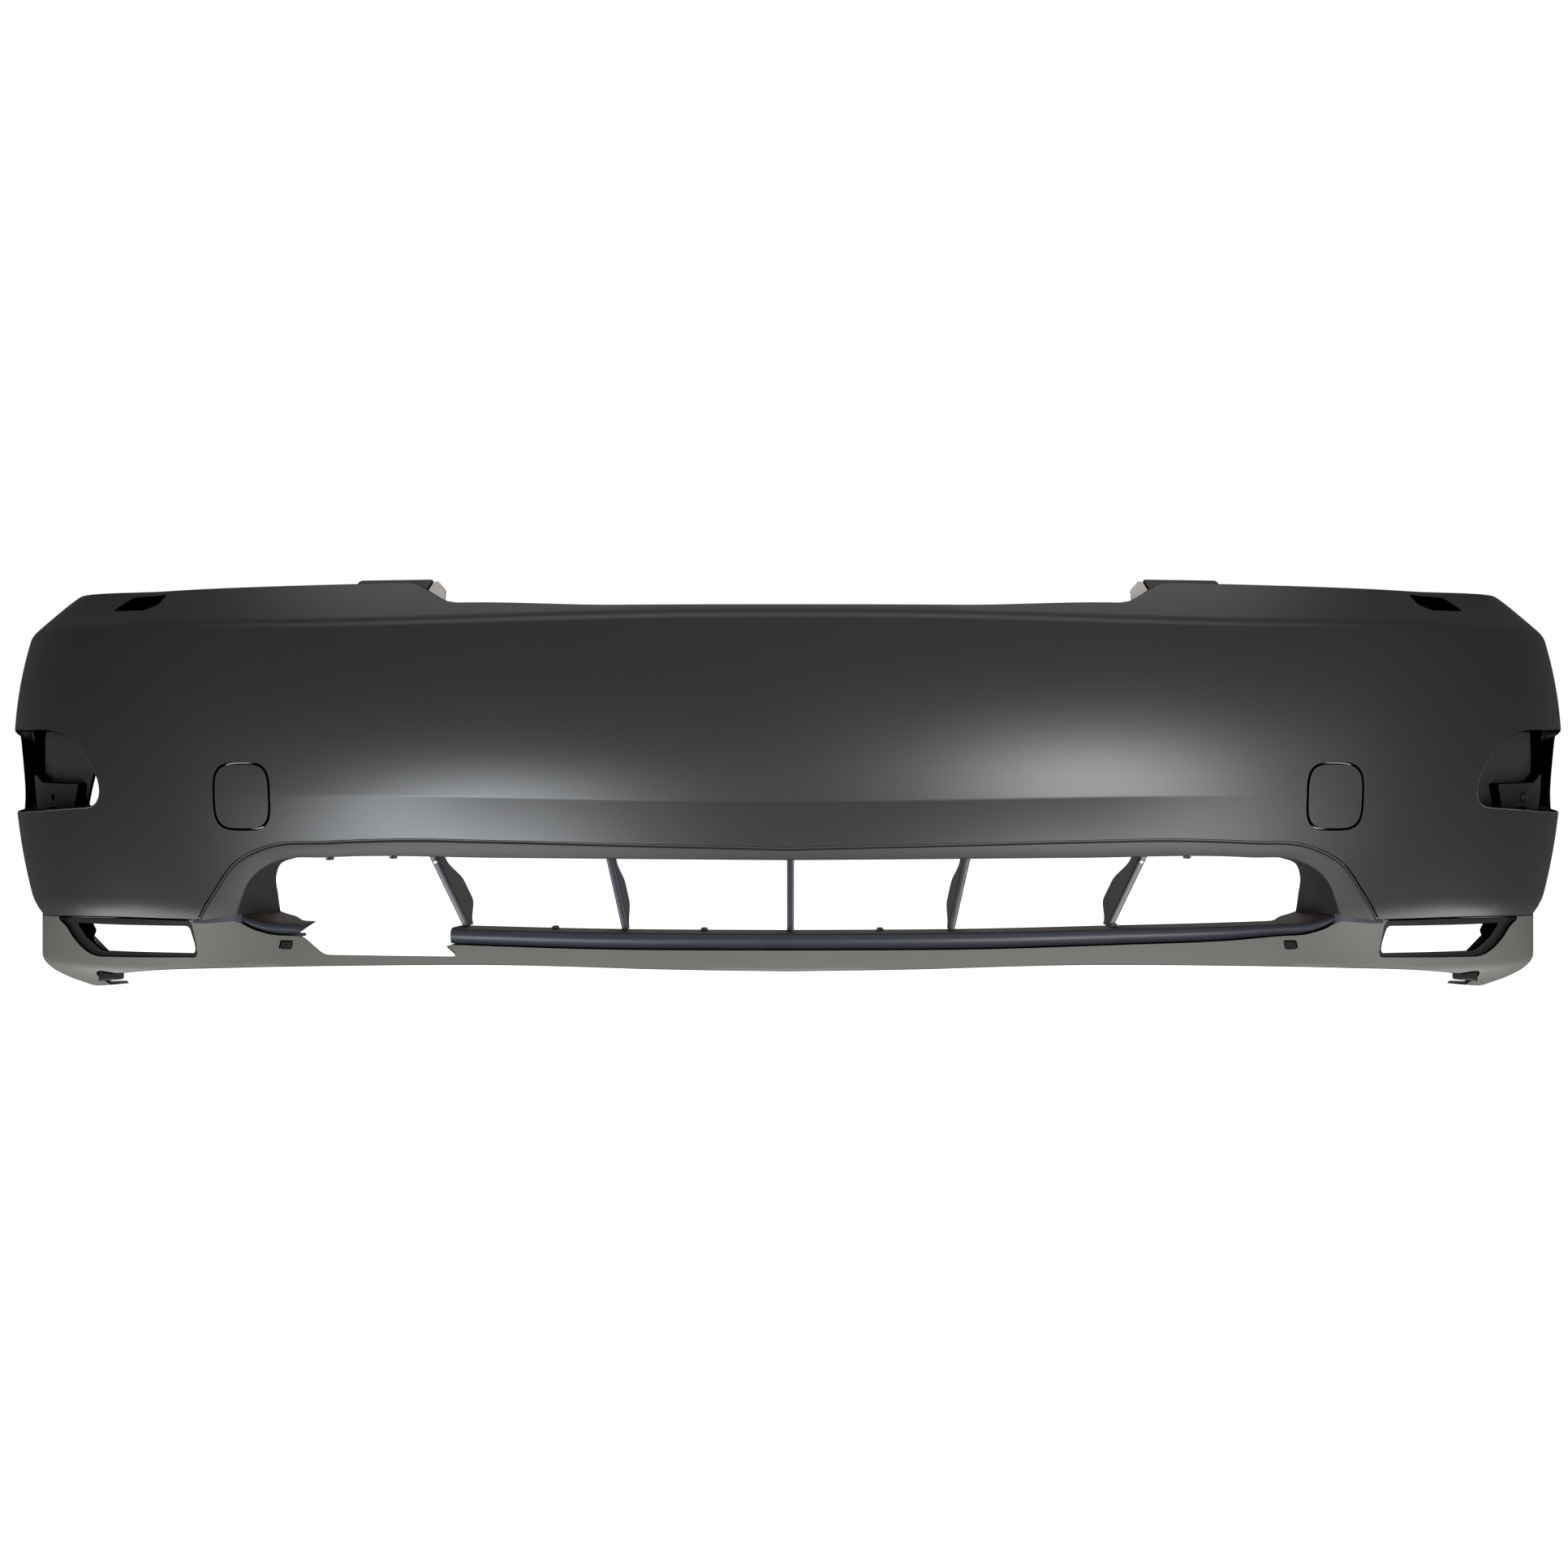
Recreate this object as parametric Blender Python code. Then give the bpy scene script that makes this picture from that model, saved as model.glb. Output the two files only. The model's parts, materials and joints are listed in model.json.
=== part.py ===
"""Front bumper cover of a car, with the pieces that stay on it when it comes off the car.

Metres, +Z up, and the front looks along -Y. The pieces are shaped about a datum: y = 0 at the
foremost line and z = 0 through the middle of the face. A place on the skin is (s, z): s is the
distance along the bow from the middle, positive to +X, and z is the height. At the end the
whole part is set down on z = 0, with the middle of its box over the origin.
"""
import math

import bpy
import numpy as np
from mathutils import Matrix, Vector
from mathutils.geometry import delaunay_2d_cdt

# ---------------------------------------------------------------- driving sizes
WIDTH = 1.856                # over the two wings
HEIGHT = 0.445               # from the lowest lip to the top edge
WALL = 0.003                 # moulded wall of the painted skin
LIP_WALL = 0.0028            # wall of the valance and the grille surround
GAP = 0.0003                 # clearance between pieces that seat on each other
TOW_CUT_WIDTH = 0.062        # towing-eye hole
TOW_CUT_HEIGHT = 0.070
TOW_REVEAL = 0.0012          # open line round a towing-eye cover
SKIRT = 0.009                # how far a towing-eye cover reaches back
RIB_THICKNESS = 0.0024
RIB_BEAD = 0.0052            # width of the bright bead along a rib's front
RIB_DEPTH = 0.118            # deepest part of a rib
RAIL_DEPTH = 0.046           # lower rail, front to back
MARKER_RETURN = 0.020        # return flange round a side-marker hole
BRACKET_DEPTH = 0.016 + MARKER_RETURN   # side-marker bracket behind the skin
TRAY_WALL = 0.0025           # wall of that bracket
PIN_SHANK = 0.0062           # push pin of the side-marker bracket
TAB = 0.034                  # width of a flat fixing tab

SPAN = WIDTH / 1.856         # every station along the bow grows with the width
RISE = HEIGHT / 0.445        # and every level grows with the height

# plan of the bow: a slow bend, then the turn of the corner
BOW = 0.30 / SPAN
CORNER_START, CORNER_END = 0.57 * SPAN, 1.12 * SPAN
CORNER_TURN = math.radians(64)
WING_END = 1.335 * SPAN

# levels of the face
TOP_MIDDLE, TOP_STEP = 0.1862 * RISE, 0.0304 * RISE
STEP_START, STEP_END = 0.352 * SPAN, 0.424 * SPAN
SHOULDER_MIDDLE, SHOULDER_FALL = 0.176 * RISE, 0.008 * RISE
CREASE_MIDDLE, CREASE_LIFT = -0.018 * RISE, 0.006 * RISE
BELT = 0.035 * RISE          # the fullest level of the face

# lines on the skin as (station, level) from the middle outwards
PLACE = np.array([SPAN, RISE])
BORDER = PLACE * [(0, -0.0655), (0.143, -0.0622), (0.311, -0.0583), (0.396, -0.0569),
                  (0.483, -0.0596), (0.545, -0.0641), (0.582, -0.0813), (0.610, -0.114),
                  (0.633, -0.1432)]
LOWER_EDGE = PLACE * [(0.633, -0.1432), (0.735, -0.1424), (0.894, -0.1463), (1.05, -0.150),
                      (1.19, -0.152)]
WHEEL_ARCH = PLACE * [(1.19, -0.152), (1.25, -0.105), (1.297, -0.035), (1.325, 0.04),
                      (1.335, 0.10)]
ARCH_FRONT = PLACE * [(0, -0.0785), (0.15, -0.0775), (0.3, -0.0765), (0.482, -0.0765),
                      (0.537, -0.0808), (0.5575, -0.0918), (0.5703, -0.1048), (0.5793, -0.1223),
                      (0.5858, -0.1372)]
ARCH_BACK = PLACE * [(0, -0.0785), (0.15, -0.0775), (0.3, -0.0765), (0.480, -0.0760),
                     (0.533, -0.0795), (0.5535, -0.0875), (0.5585, -0.1005), (0.5575, -0.120),
                     (0.556, -0.1418)]
LIP_TOP = PLACE * [(0, -0.1703), (0.2, -0.1695), (0.35, -0.166), (0.47, -0.1625), (0.52, -0.1590),
                   (0.552, -0.1572), (0.574, -0.1515), (0.590, -0.1445), (0.608, -0.1452),
                   (0.625, -0.1462)]
LIP_BOTTOM = PLACE * [(0, -0.191), (0.145, -0.189), (0.226, -0.187), (0.30, -0.186), (0.37, -0.1865),
                      (0.445, -0.1878), (0.53, -0.190), (0.60, -0.1935), (0.70, -0.199),
                      (0.76, -0.2055), (0.80, -0.2095), (0.824, -0.2112), (0.838, -0.2215),
                      (0.87, -0.2252), (0.95, -0.2270), (1.17, -0.227)]
RAIL_TOP = PLACE * [(0, -0.1525), (0.2, -0.1515), (0.35, -0.149), (0.45, -0.1475), (0.52, -0.1462),
                    (0.54, -0.1458), (0.566, -0.1440), (0.588, -0.1395), (0.612, -0.1425),
                    (0.625, -0.1440)]
MARKER_CUT = PLACE * [(0.764, -0.0242), (0.891, -0.0296), (1.0, -0.031), (1.066, -0.029),
                      (1.078, -0.012), (1.072, 0.030), (1.055, 0.054), (1.02, 0.058),
                      (0.869, 0.0578), (0.828, 0.0571), (0.788, 0.0478), (0.768, 0.0355),
                      (0.753, 0.0181), (0.744, 0.0009), (0.744, -0.0121), (0.750, -0.0207)]
WASHER_CUT = PLACE * [(0.728, 0.1875), (0.782, 0.1885), (0.784, 0.2049), (0.728, 0.207),
                      (0.718, 0.1943)]
FOG_CUT = PLACE * [(0.646, -0.1490), (0.8455, -0.1505), (0.842, -0.1575), (0.830, -0.1668),
                   (0.8128, -0.1758), (0.7942, -0.1829), (0.7788, -0.1858), (0.6364, -0.1826),
                   (0.6355, -0.1783), (0.637, -0.1706)]
FOG_HOLE = PLACE * [(0.648, -0.1525), (0.798, -0.1535), (0.7955, -0.1625), (0.782, -0.1715),
                    (0.766, -0.1778), (0.6400, -0.1765), (0.6405, -0.1706)]
SENSOR_NOTCH = PLACE * [(-0.512, -0.1605), (-0.486, -0.177), (-0.343, -0.1775), (-0.357, -0.1675)]
# the towing-eye hole keeps 28 mm of skin between it and the grille arch
TOW_AT = np.array([0.571 * SPAN, -0.076 * RISE + 0.028 + TOW_CUT_HEIGHT / 2])
LIP_CLIP_AT = PLACE * (0.531, -0.168)
PIN_AT = PLACE * (0.868, -0.016)
WASHER_EDGE = 0.006
BRACKET_WINDOW = PLACE * [(0.774, -0.027), (0.807, -0.027), (0.7885, 0.011), (0.774, 0.011)]
WELL_DEPTH = 0.024           # washer well behind the skin
WELL_LOW, WELL_HIGH = PLACE * (0.706, 0.1835), PLACE * (0.795, 0.2098)

# ribs: station of the bead at its top and at its foot, for the middle one and one side
RIB_TOPS = np.array([-0.3656, -0.1838, 0.0022, 0.1838, 0.3656]) * SPAN
RIB_FEET = np.array([-0.3302, -0.1674, 0.0022, 0.1674, 0.3302]) * SPAN
ARCH_STEPS = 46              # facets along half of the grille arch
BEZEL_LAP = 0.0026           # overlap of a fog-lamp bezel round its hole
TUCK = 0.0085                # how far the grille surround reaches behind the skin
RIB_FRONT = 0.022            # a rib's bead stands this far behind the arch edge
ARCH_CLIPS = np.array([-0.482, -0.414, 0.418]) * SPAN
RAIL_CLIPS = np.array([-0.245, -0.088, 0.096, 0.345]) * SPAN
TOP_TABS = np.array([-0.29, -0.10, 0.10, 0.29]) * SPAN
LIP_TABS = np.array([-0.22, 0.22]) * SPAN


# ---------------------------------------------------------------- curves and the skin
def ease(low, high, value):
    t = np.clip((np.asarray(value, float) - low) / (high - low), 0.0, 1.0)
    return t * t * (3 - 2 * t)


def plan_curve():
    arc = np.linspace(0, 1.7 * SPAN, 1701)
    heading = BOW * arc + CORNER_TURN * ease(CORNER_START, CORNER_END, arc)
    half = np.diff(arc) / 2
    x = np.concatenate([[0], np.cumsum((np.cos(heading[1:]) + np.cos(heading[:-1])) * half)])
    y = np.concatenate([[0], np.cumsum((np.sin(heading[1:]) + np.sin(heading[:-1])) * half)])
    return arc, x, y, heading


ARC, PLAN_X, PLAN_Y, HEADING = plan_curve()


def spline(points, count):
    """Points on a smooth curve that passes through the given ones."""
    points = np.asarray(points, float)
    run = np.concatenate([[0], np.cumsum(np.linalg.norm(np.diff(points, axis=0), axis=1))])
    slope = np.gradient(points, run, axis=0)
    at = np.linspace(0, run[-1], count)
    k = np.clip(np.searchsorted(run, at, side="right") - 1, 0, len(run) - 2)
    step = run[k + 1] - run[k]
    t = ((at - run[k]) / step)[:, None]
    step = step[:, None]
    return ((2 * t**3 - 3 * t**2 + 1) * points[k] + (t**3 - 2 * t**2 + t) * step * slope[k]
            + (3 * t**2 - 2 * t**3) * points[k + 1] + (t**3 - t**2) * step * slope[k + 1])


def level(line, s):
    """Height of a line of the skin at station s."""
    fine = spline(line, 160)
    return np.interp(np.abs(s), fine[:, 0], fine[:, 1])


def shoulder(s):
    return SHOULDER_MIDDLE - SHOULDER_FALL * ease(0.05 * SPAN, 0.55 * SPAN, np.abs(s))


def crease(s):
    return CREASE_MIDDLE + CREASE_LIFT * ease(0, 0.45 * SPAN, np.abs(s))


def top_edge(s):
    a = np.abs(s) / SPAN
    high = TOP_MIDDLE + TOP_STEP * (0.15 * ease(0.18, 0.34, a)
                                    + 0.85 * ease(STEP_START, STEP_END, np.abs(s)))
    high = high - 0.0045 * RISE * ease(0.42, 0.80, a)
    wing = shoulder(s) + (0.002 - 0.018 * ease(0.98, 1.34, a)) * RISE
    return high + (wing - high) * ease(0.915, 1.015, a)


def setback(s, z):
    """How far the painted skin lies behind the bow."""
    a, z = np.abs(s) / SPAN, np.asarray(z, float) / RISE
    belt, fold = BELT / RISE, crease(s) / RISE
    middle = 1 - ease(0.28, 0.62, a)
    low = np.maximum(belt - z, 0)
    under = np.where(z >= fold, 1.5 * low**2, 1.5 * (belt - fold)**2 + 4 * (fold - z)**2)
    side = 0.75 * low**2 + 8 * np.maximum(-0.12 - z, 0)**2
    over = 1.1 * np.maximum(z - belt, 0)**2
    rise = z - shoulder(s) / RISE
    soft = 0.006
    ledge = np.where(rise < -soft, 0, np.where(rise < soft, (rise + soft)**2 / (4 * soft), rise))
    run = 1.5 - 0.75 * ease(0.74, 0.90, a)
    return over + middle * under + (1 - middle) * side + run * ledge


def lip_setback(s, z):
    """How far the valance lies behind the bow."""
    a, z = np.abs(s) / SPAN, np.asarray(z, float) / RISE
    middle = 0.008 + 0.7 * np.maximum(z + 0.190, 0) + 6 * np.maximum(-0.186 - z, 0)**2
    corner = 0.0305 + 44 * np.maximum(-0.194 - z, 0)**2
    return middle + (corner - middle) * ease(0.50, 0.66, a)


def on_bow(s, z, back):
    s = np.asarray(s, float)
    a = np.abs(s)
    heading = np.interp(a, ARC, HEADING)
    x = np.interp(a, ARC, PLAN_X) - back * np.sin(heading)
    y = np.interp(a, ARC, PLAN_Y) + back * np.cos(heading)
    return np.stack([np.where(s < 0, -x, x), y, np.broadcast_to(z, s.shape)], axis=-1)


def sheet_of(profile, sunk=0.0):
    """A surface as points and outward normals, sunk below the face of the profile."""
    def surface(s, z):
        s, z = np.asarray(s, float), np.asarray(z, float)
        d = 2e-4
        point = on_bow(s, z, profile(s, z))
        along = on_bow(s + d, z, profile(s + d, z)) - on_bow(s - d, z, profile(s - d, z))
        up = on_bow(s, z + d, profile(s, z + d)) - on_bow(s, z - d, profile(s, z - d))
        normal = np.cross(along, up)
        normal /= np.linalg.norm(normal, axis=-1, keepdims=True)
        return point - sunk * normal, normal
    return surface


FACE = sheet_of(setback)
LIP = sheet_of(lip_setback)


# ---------------------------------------------------------------- solids
def solid(name, points, faces, material):
    points = np.asarray(points, float)
    corners = [np.array(f) for f in faces]
    volume = sum(np.dot(points[f[0]], np.cross(points[f[i]], points[f[i + 1]]))
                 for f in corners for i in range(1, len(f) - 1))
    if volume < 0:
        corners = [f[::-1] for f in corners]
    mesh = bpy.data.meshes.new(name)
    mesh.from_pydata([tuple(p) for p in points], [], [[int(i) for i in f] for f in corners])
    mesh.materials.append(material)
    mesh.shade_smooth()
    mesh.set_sharp_from_angle(angle=math.radians(35))
    mesh.update()
    obj = bpy.data.objects.new(name, mesh)
    bpy.context.scene.collection.objects.link(obj)
    return obj


def paint(name, colour, roughness):
    material = bpy.data.materials.new(name)
    material.use_nodes = True
    shader = material.node_tree.nodes["Principled BSDF"]
    shader.inputs["Base Color"].default_value = (*colour, 1)
    shader.inputs["Roughness"].default_value = roughness
    material.diffuse_color = (*colour, 1)
    return material


def loft(name, rings, material):
    """Joins closed rings of equal length, with a cap at each end."""
    count = len(rings[0])
    faces = []
    for r in range(len(rings) - 1):
        for i in range(count):
            j = (i + 1) % count
            faces.append((r * count + i, r * count + j, (r + 1) * count + j, (r + 1) * count + i))
    faces.append(tuple(range(count))[::-1])
    faces.append(tuple(range((len(rings) - 1) * count, len(rings) * count)))
    return solid(name, np.concatenate(rings), faces, material)


def inside(loop, points):
    x, y = points[:, 0][:, None], points[:, 1][:, None]
    ax, ay = loop[:, 0], loop[:, 1]
    bx, by = np.roll(ax, -1), np.roll(ay, -1)
    cross = (ay > y) != (by > y)
    with np.errstate(divide="ignore", invalid="ignore"):
        at = (bx - ax) * (y - ay) / (by - ay) + ax
    return (np.sum(cross & (x < at), axis=1) % 2) == 1


def clearance(loop, points):
    a, b = loop, np.roll(loop, -1, axis=0)
    d = b - a
    t = np.einsum("pkc,kc->pk", points[:, None] - a, d) / np.maximum((d * d).sum(1), 1e-12)
    near = a + np.clip(t, 0, 1)[..., None] * d
    return np.linalg.norm(points[:, None] - near, axis=2).min(axis=1)


def triangulated(loops, seeds, margin):
    """Triangles of the region inside the first loop and outside the others."""
    if len(seeds):
        keep = inside(loops[0], seeds)
        for hole in loops[1:]:
            keep &= ~inside(hole, seeds)
        seeds = seeds[keep]
        for loop in loops:
            seeds = seeds[clearance(loop, seeds) > margin]
    points, edges = [], []
    for loop in loops:
        base = len(points)
        points += [tuple(p) for p in loop]
        edges += [(base + i, base + (i + 1) % len(loop)) for i in range(len(loop))]
    points += [tuple(p) for p in seeds]
    made = delaunay_2d_cdt([Vector(p) for p in points], edges, [], 0, 1e-7)
    flat = np.array([tuple(v) for v in made[0]])
    faces = np.array([tuple(f) for f in made[2]])
    middle = flat[faces].mean(axis=1)
    keep = inside(loops[0], middle)
    for hole in loops[1:]:
        keep &= ~inside(hole, middle)
    faces = faces[keep]
    a, b, c = flat[faces[:, 0]], flat[faces[:, 1]], flat[faces[:, 2]]
    area = (b[:, 0] - a[:, 0]) * (c[:, 1] - a[:, 1]) - (b[:, 1] - a[:, 1]) * (c[:, 0] - a[:, 0])
    faces[area < 0] = faces[area < 0][:, ::-1]
    used = np.unique(faces)
    index = np.full(len(flat), -1)
    index[used] = np.arange(len(used))
    return flat[used], index[faces[np.abs(area) > 1e-10]]


def moulding(name, surface, loops, material, wall, seeds=(), margin=0.008, rim=None, flip=False):
    """A moulded sheet: its face, its back one wall behind, and an edge or flange all round.

    rim takes the station, level, normal and inward direction of the edge points and returns
    how far each flange reaches, as a vector; where that's zero the edge is plain.
    """
    seeds = np.asarray(seeds, float).reshape(-1, 2)
    flat, faces = triangulated(loops, seeds, margin)
    face, normal = surface(flat[:, 0], flat[:, 1])
    if flip:
        normal, faces = -normal, faces[:, ::-1]
    back = face - wall * normal
    count = len(flat)
    ahead = {}
    for tri in faces:
        for a, b in ((tri[0], tri[1]), (tri[1], tri[2]), (tri[2], tri[0])):
            ahead[(int(a), int(b))] = True
    edge = [(a, b) for a, b in ahead if (b, a) not in ahead]
    follow = dict(edge)
    before = {b: a for a, b in edge}
    ids = sorted(follow)
    go = np.array([face[follow[i]] - face[i] for i in ids])
    come = np.array([face[i] - face[before[i]] for i in ids])
    go /= np.linalg.norm(go, axis=1, keepdims=True)
    come /= np.linalg.norm(come, axis=1, keepdims=True)
    tangent = go + come
    tangent /= np.linalg.norm(tangent, axis=1, keepdims=True)
    inward = np.cross(normal[ids], tangent)
    inward /= np.linalg.norm(inward, axis=1, keepdims=True)
    miter = 1 / np.clip(np.einsum("ij,ij->i", tangent, go), 0.6, 1)
    reach = np.zeros((len(ids), 3))
    if rim is not None:
        reach = rim(flat[ids, 0], flat[ids, 1], normal[ids], inward)
    flanged = np.linalg.norm(reach, axis=1) > 1e-6
    side = wall * inward * miter[:, None]
    outer_tip = np.where(flanged[:, None], face[ids] + reach, face[ids] - normal[ids] * wall / 3)
    inner_tip = np.where(flanged[:, None], face[ids] + reach + side,
                         face[ids] - normal[ids] * wall * 2 / 3)
    back[ids] = np.where(flanged[:, None], back[ids] + side, back[ids])
    points = np.concatenate([face, back, outer_tip, inner_tip])
    place = {v: k for k, v in enumerate(ids)}
    out = [tuple(f) for f in faces] + [tuple(f[::-1] + count) for f in faces]
    for a, b in edge:
        rows = [(a, b), (2 * count + place[a], 2 * count + place[b]),
                (2 * count + len(ids) + place[a], 2 * count + len(ids) + place[b]),
                (a + count, b + count)]
        for (p, q), (r, t) in zip(rows, rows[1:]):
            out += [(q, p, r), (q, r, t)]
    return solid(name, points, out, material)


def box(name, low, high, material):
    low, high = np.minimum(low, high), np.maximum(low, high)
    x, y = (low[0], high[0]), (low[1], high[1])
    ring = [(x[0], y[0]), (x[1], y[0]), (x[1], y[1]), (x[0], y[1])]
    return loft(name, [np.array([(a, b, z) for a, b in ring]) for z in (low[2], high[2])], material)


def join(target, extra, operation="UNION"):
    """Merges a helper into a piece, or cuts it out, and leaves the helper out of the model."""
    extra.hide_render = True
    extra.display_type = "WIRE"
    step = target.modifiers.new(extra.name, "BOOLEAN")
    step.operation = operation
    step.solver = "EXACT"
    step.object = extra


def turned(name, axis_point, axis, profile, material, steps=20):
    """A solid of revolution from (distance along the axis, radius) pairs."""
    axis = np.asarray(axis, float) / np.linalg.norm(axis)
    u = np.cross(axis, (0, 0, 1) if abs(axis[2]) < 0.9 else (1, 0, 0))
    u /= np.linalg.norm(u)
    v = np.cross(axis, u)
    angle = np.linspace(0, 2 * math.pi, steps, endpoint=False)
    round_ = np.outer(np.cos(angle), u) + np.outer(np.sin(angle), v)
    return loft(name, [axis_point + along * axis + radius * round_ for along, radius in profile],
                material)


# ---------------------------------------------------------------- loops on the skin
def resampled(line, spacing):
    line = np.asarray(line, float)
    run = np.concatenate([[0], np.cumsum(np.linalg.norm(np.diff(line, axis=0), axis=1))])
    count = max(int(round(run[-1] / spacing)), 1) + 1
    at = np.linspace(0, run[-1], count)
    return np.stack([np.interp(at, run, line[:, k]) for k in (0, 1)], axis=1)


def mirrored(line):
    return np.asarray(line)[::-1] * (-1, 1)


def chain(parts):
    """One closed loop from open lines laid end to end."""
    loop = [parts[0][0]]
    for line in parts:
        loop += [p for p in line if np.linalg.norm(p - loop[-1]) > 1e-5]
    if np.linalg.norm(np.subtract(loop[0], loop[-1])) < 1e-5:
        loop.pop()
    return np.array(loop)


def rounded(corners, radius, spacing=0.006):
    """A closed loop with its corners rounded."""
    corners = np.asarray(corners, float)
    loop = []
    for k in range(len(corners)):
        p, q, r = corners[k - 1], corners[k], corners[(k + 1) % len(corners)]
        a, b = p - q, r - q
        reach = min(radius, np.linalg.norm(a) * 0.45, np.linalg.norm(b) * 0.45)
        a, b = q + a / np.linalg.norm(a) * reach, q + b / np.linalg.norm(b) * reach
        for t in np.linspace(0, 1, 4):
            loop.append((1 - t)**2 * a + 2 * t * (1 - t) * q + t * t * b)
    return np.array(loop)


def anticlockwise(loop):
    x, y = loop[:, 0], loop[:, 1]
    turn = np.sum(x * np.roll(y, -1) - np.roll(x, -1) * y)
    return loop if turn > 0 else loop[::-1]


def side_loop(loop, side):
    return anticlockwise(np.asarray(loop) * (side, 1))


def squircle(centre, width, height, steps=28):
    t = np.linspace(0, 2 * math.pi, steps, endpoint=False)
    c, d = np.cos(t), np.sin(t)
    return centre + np.stack([np.sign(c) * np.abs(c)**0.55 * width / 2,
                              np.sign(d) * np.abs(d)**0.55 * height / 2], axis=1)


def rectangle(low, high):
    return np.array([(low[0], low[1]), (high[0], low[1]), (high[0], high[1]), (low[0], high[1])])


def stations(end, step, fine_from, fine_step):
    out = list(np.arange(0, fine_from, step)) + list(np.arange(fine_from, end, fine_step))
    return np.array(sorted({round(v, 6) for v in out} | {-round(v, 6) for v in out}))


# ---------------------------------------------------------------- painted skin
def tuck_line(count):
    """Where the grille surround ends behind the skin, one side."""
    border = spline(BORDER, count)
    tangent = np.gradient(border, axis=0)
    tangent /= np.linalg.norm(tangent, axis=1, keepdims=True)
    reach = TUCK - (TUCK - 0.002) * ease(0.72, 0.90, np.linspace(0, 1, count))
    return border + reach[:, None] * np.stack([-tangent[:, 1], tangent[:, 0]], axis=1)


def cover_outline():
    border = spline(BORDER, ARCH_STEPS)
    lower = resampled(spline(LOWER_EDGE, 60), 0.035)
    arch = resampled(spline(WHEEL_ARCH, 40), 0.03)
    wing = resampled([WHEEL_ARCH[-1], (WING_END, top_edge(WING_END))], 0.03)
    a = np.concatenate([np.arange(WING_END, 0.74 * SPAN, -0.028), np.arange(0.74, 0.45, -0.04) * SPAN,
                        np.linspace(STEP_END + 0.01, STEP_START - 0.01, 13),
                        np.linspace(0.335, 0, 12) * SPAN])
    top = np.stack([a, top_edge(a)], axis=1)
    right = [border, lower, arch, wing, top]
    return chain(right + [mirrored(line) for line in right[::-1]])


def cover_rows(s):
    """Levels of the points between the edges at one station."""
    floor = level(BORDER, s) if abs(s) < BORDER[-1][0] else level(LOWER_EDGE, s)
    fold, edge = crease(s), shoulder(s)
    soft = 0.006 * RISE
    rows = [fold, edge - soft, edge, edge + soft]
    rows += list(fold + (edge - fold) * np.linspace(0.12, 0.86, 6))
    rows += list(np.linspace(floor, fold, 5)[1:-1])
    rows += [(edge + top_edge(s)) / 2 + soft / 2]
    return rows


def filled(loop, spacing):
    """A closed loop with points added along its long edges."""
    return anticlockwise(chain([resampled(np.concatenate([loop, loop[:1]]), spacing)]))


def fog_loop(side, grow=0.0):
    return grown(filled(rounded(side_loop(FOG_CUT, side), 0.006), 0.010), grow)


def grown(loop, by):
    """A loop moved outwards by a distance."""
    loop = anticlockwise(loop)
    t = np.roll(loop, -1, axis=0) - np.roll(loop, 1, axis=0)
    t /= np.linalg.norm(t, axis=1, keepdims=True)
    return loop + by * np.stack([t[:, 1], -t[:, 0]], axis=1)


def fog_inner(side):
    """The hole through the bezel, a little smaller than the one through the valance."""
    return filled(rounded(side_loop(FOG_HOLE, side), 0.005), 0.010)


def marker_loop(side, grow=0.0):
    closed = np.concatenate([MARKER_CUT, MARKER_CUT[:1]])
    return grown(side_loop(spline(closed, 41)[:-1], side), grow)


def make_cover(material):
    seeds = [(s, z) for s in stations(WING_END - 0.012, 0.044, 0.56 * SPAN, 0.026)
             for z in cover_rows(s)]
    for side in (-1, 1):
        seeds += list(tuck_line(ARCH_STEPS) * (side, 1))
    tows = [squircle(TOW_AT * (side, 1), TOW_CUT_WIDTH, TOW_CUT_HEIGHT) for side in (-1, 1)]
    markers = [marker_loop(side) for side in (-1, 1)]
    washers = [rounded(side_loop(WASHER_CUT, side), WASHER_EDGE) for side in (-1, 1)]

    def rim(s, z, normal, inward):
        a, reach = np.abs(s), np.zeros((len(s), 3))
        tow = (np.hypot((a - TOW_AT[0]) / TOW_CUT_WIDTH, (z - TOW_AT[1]) / TOW_CUT_HEIGHT) < 0.75)
        reach[tow] = -normal[tow] * (SKIRT + 0.001)
        mark = clearance(marker_loop(1), np.stack([a, z], axis=1)) < 0.001
        lean = 0.4 * ease(0.95, 1.05, a / SPAN)[:, None]
        reach[mark] = (-MARKER_RETURN * (0.95 * normal + lean * inward))[mark]
        wheel = (a > LOWER_EDGE[-1][0] + 0.004) & (z < 0.09 * RISE)
        reach[wheel] = -0.018 * normal[wheel]
        return reach

    return moulding("bumper_cover", FACE, [cover_outline()] + tows + markers + washers, material,
                    WALL, seeds, 0.006, rim)


def make_tow_cover(name, side, material):
    centre = TOW_AT * (side, 1)
    size = (TOW_CUT_WIDTH - 2 * TOW_REVEAL, TOW_CUT_HEIGHT - 2 * TOW_REVEAL)
    seeds = [centre + (i * size[0] / 5, j * size[1] / 5) for i in (-1, 0, 1) for j in (-1, 0, 1)]
    hold = TOW_REVEAL - GAP
    # the skirt flares to a snap bead just clear of the hole's flange
    return moulding(name, FACE, [squircle(centre, *size)], material, WALL * 0.7, seeds, 0.004,
                    lambda s, z, normal, inward: -SKIRT * normal - hold * inward)


# ---------------------------------------------------------------- grille opening
def arch_lines(count):
    lines = []
    for line in (BORDER, ARCH_FRONT, ARCH_BACK):
        half = spline(line, count)
        lines.append(np.concatenate([mirrored(half)[:-1], half]))
    return lines


def duct_depth(a):
    return 0.074 + 0.020 * ease(0.45 * SPAN, 0.57 * SPAN, a)


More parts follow.
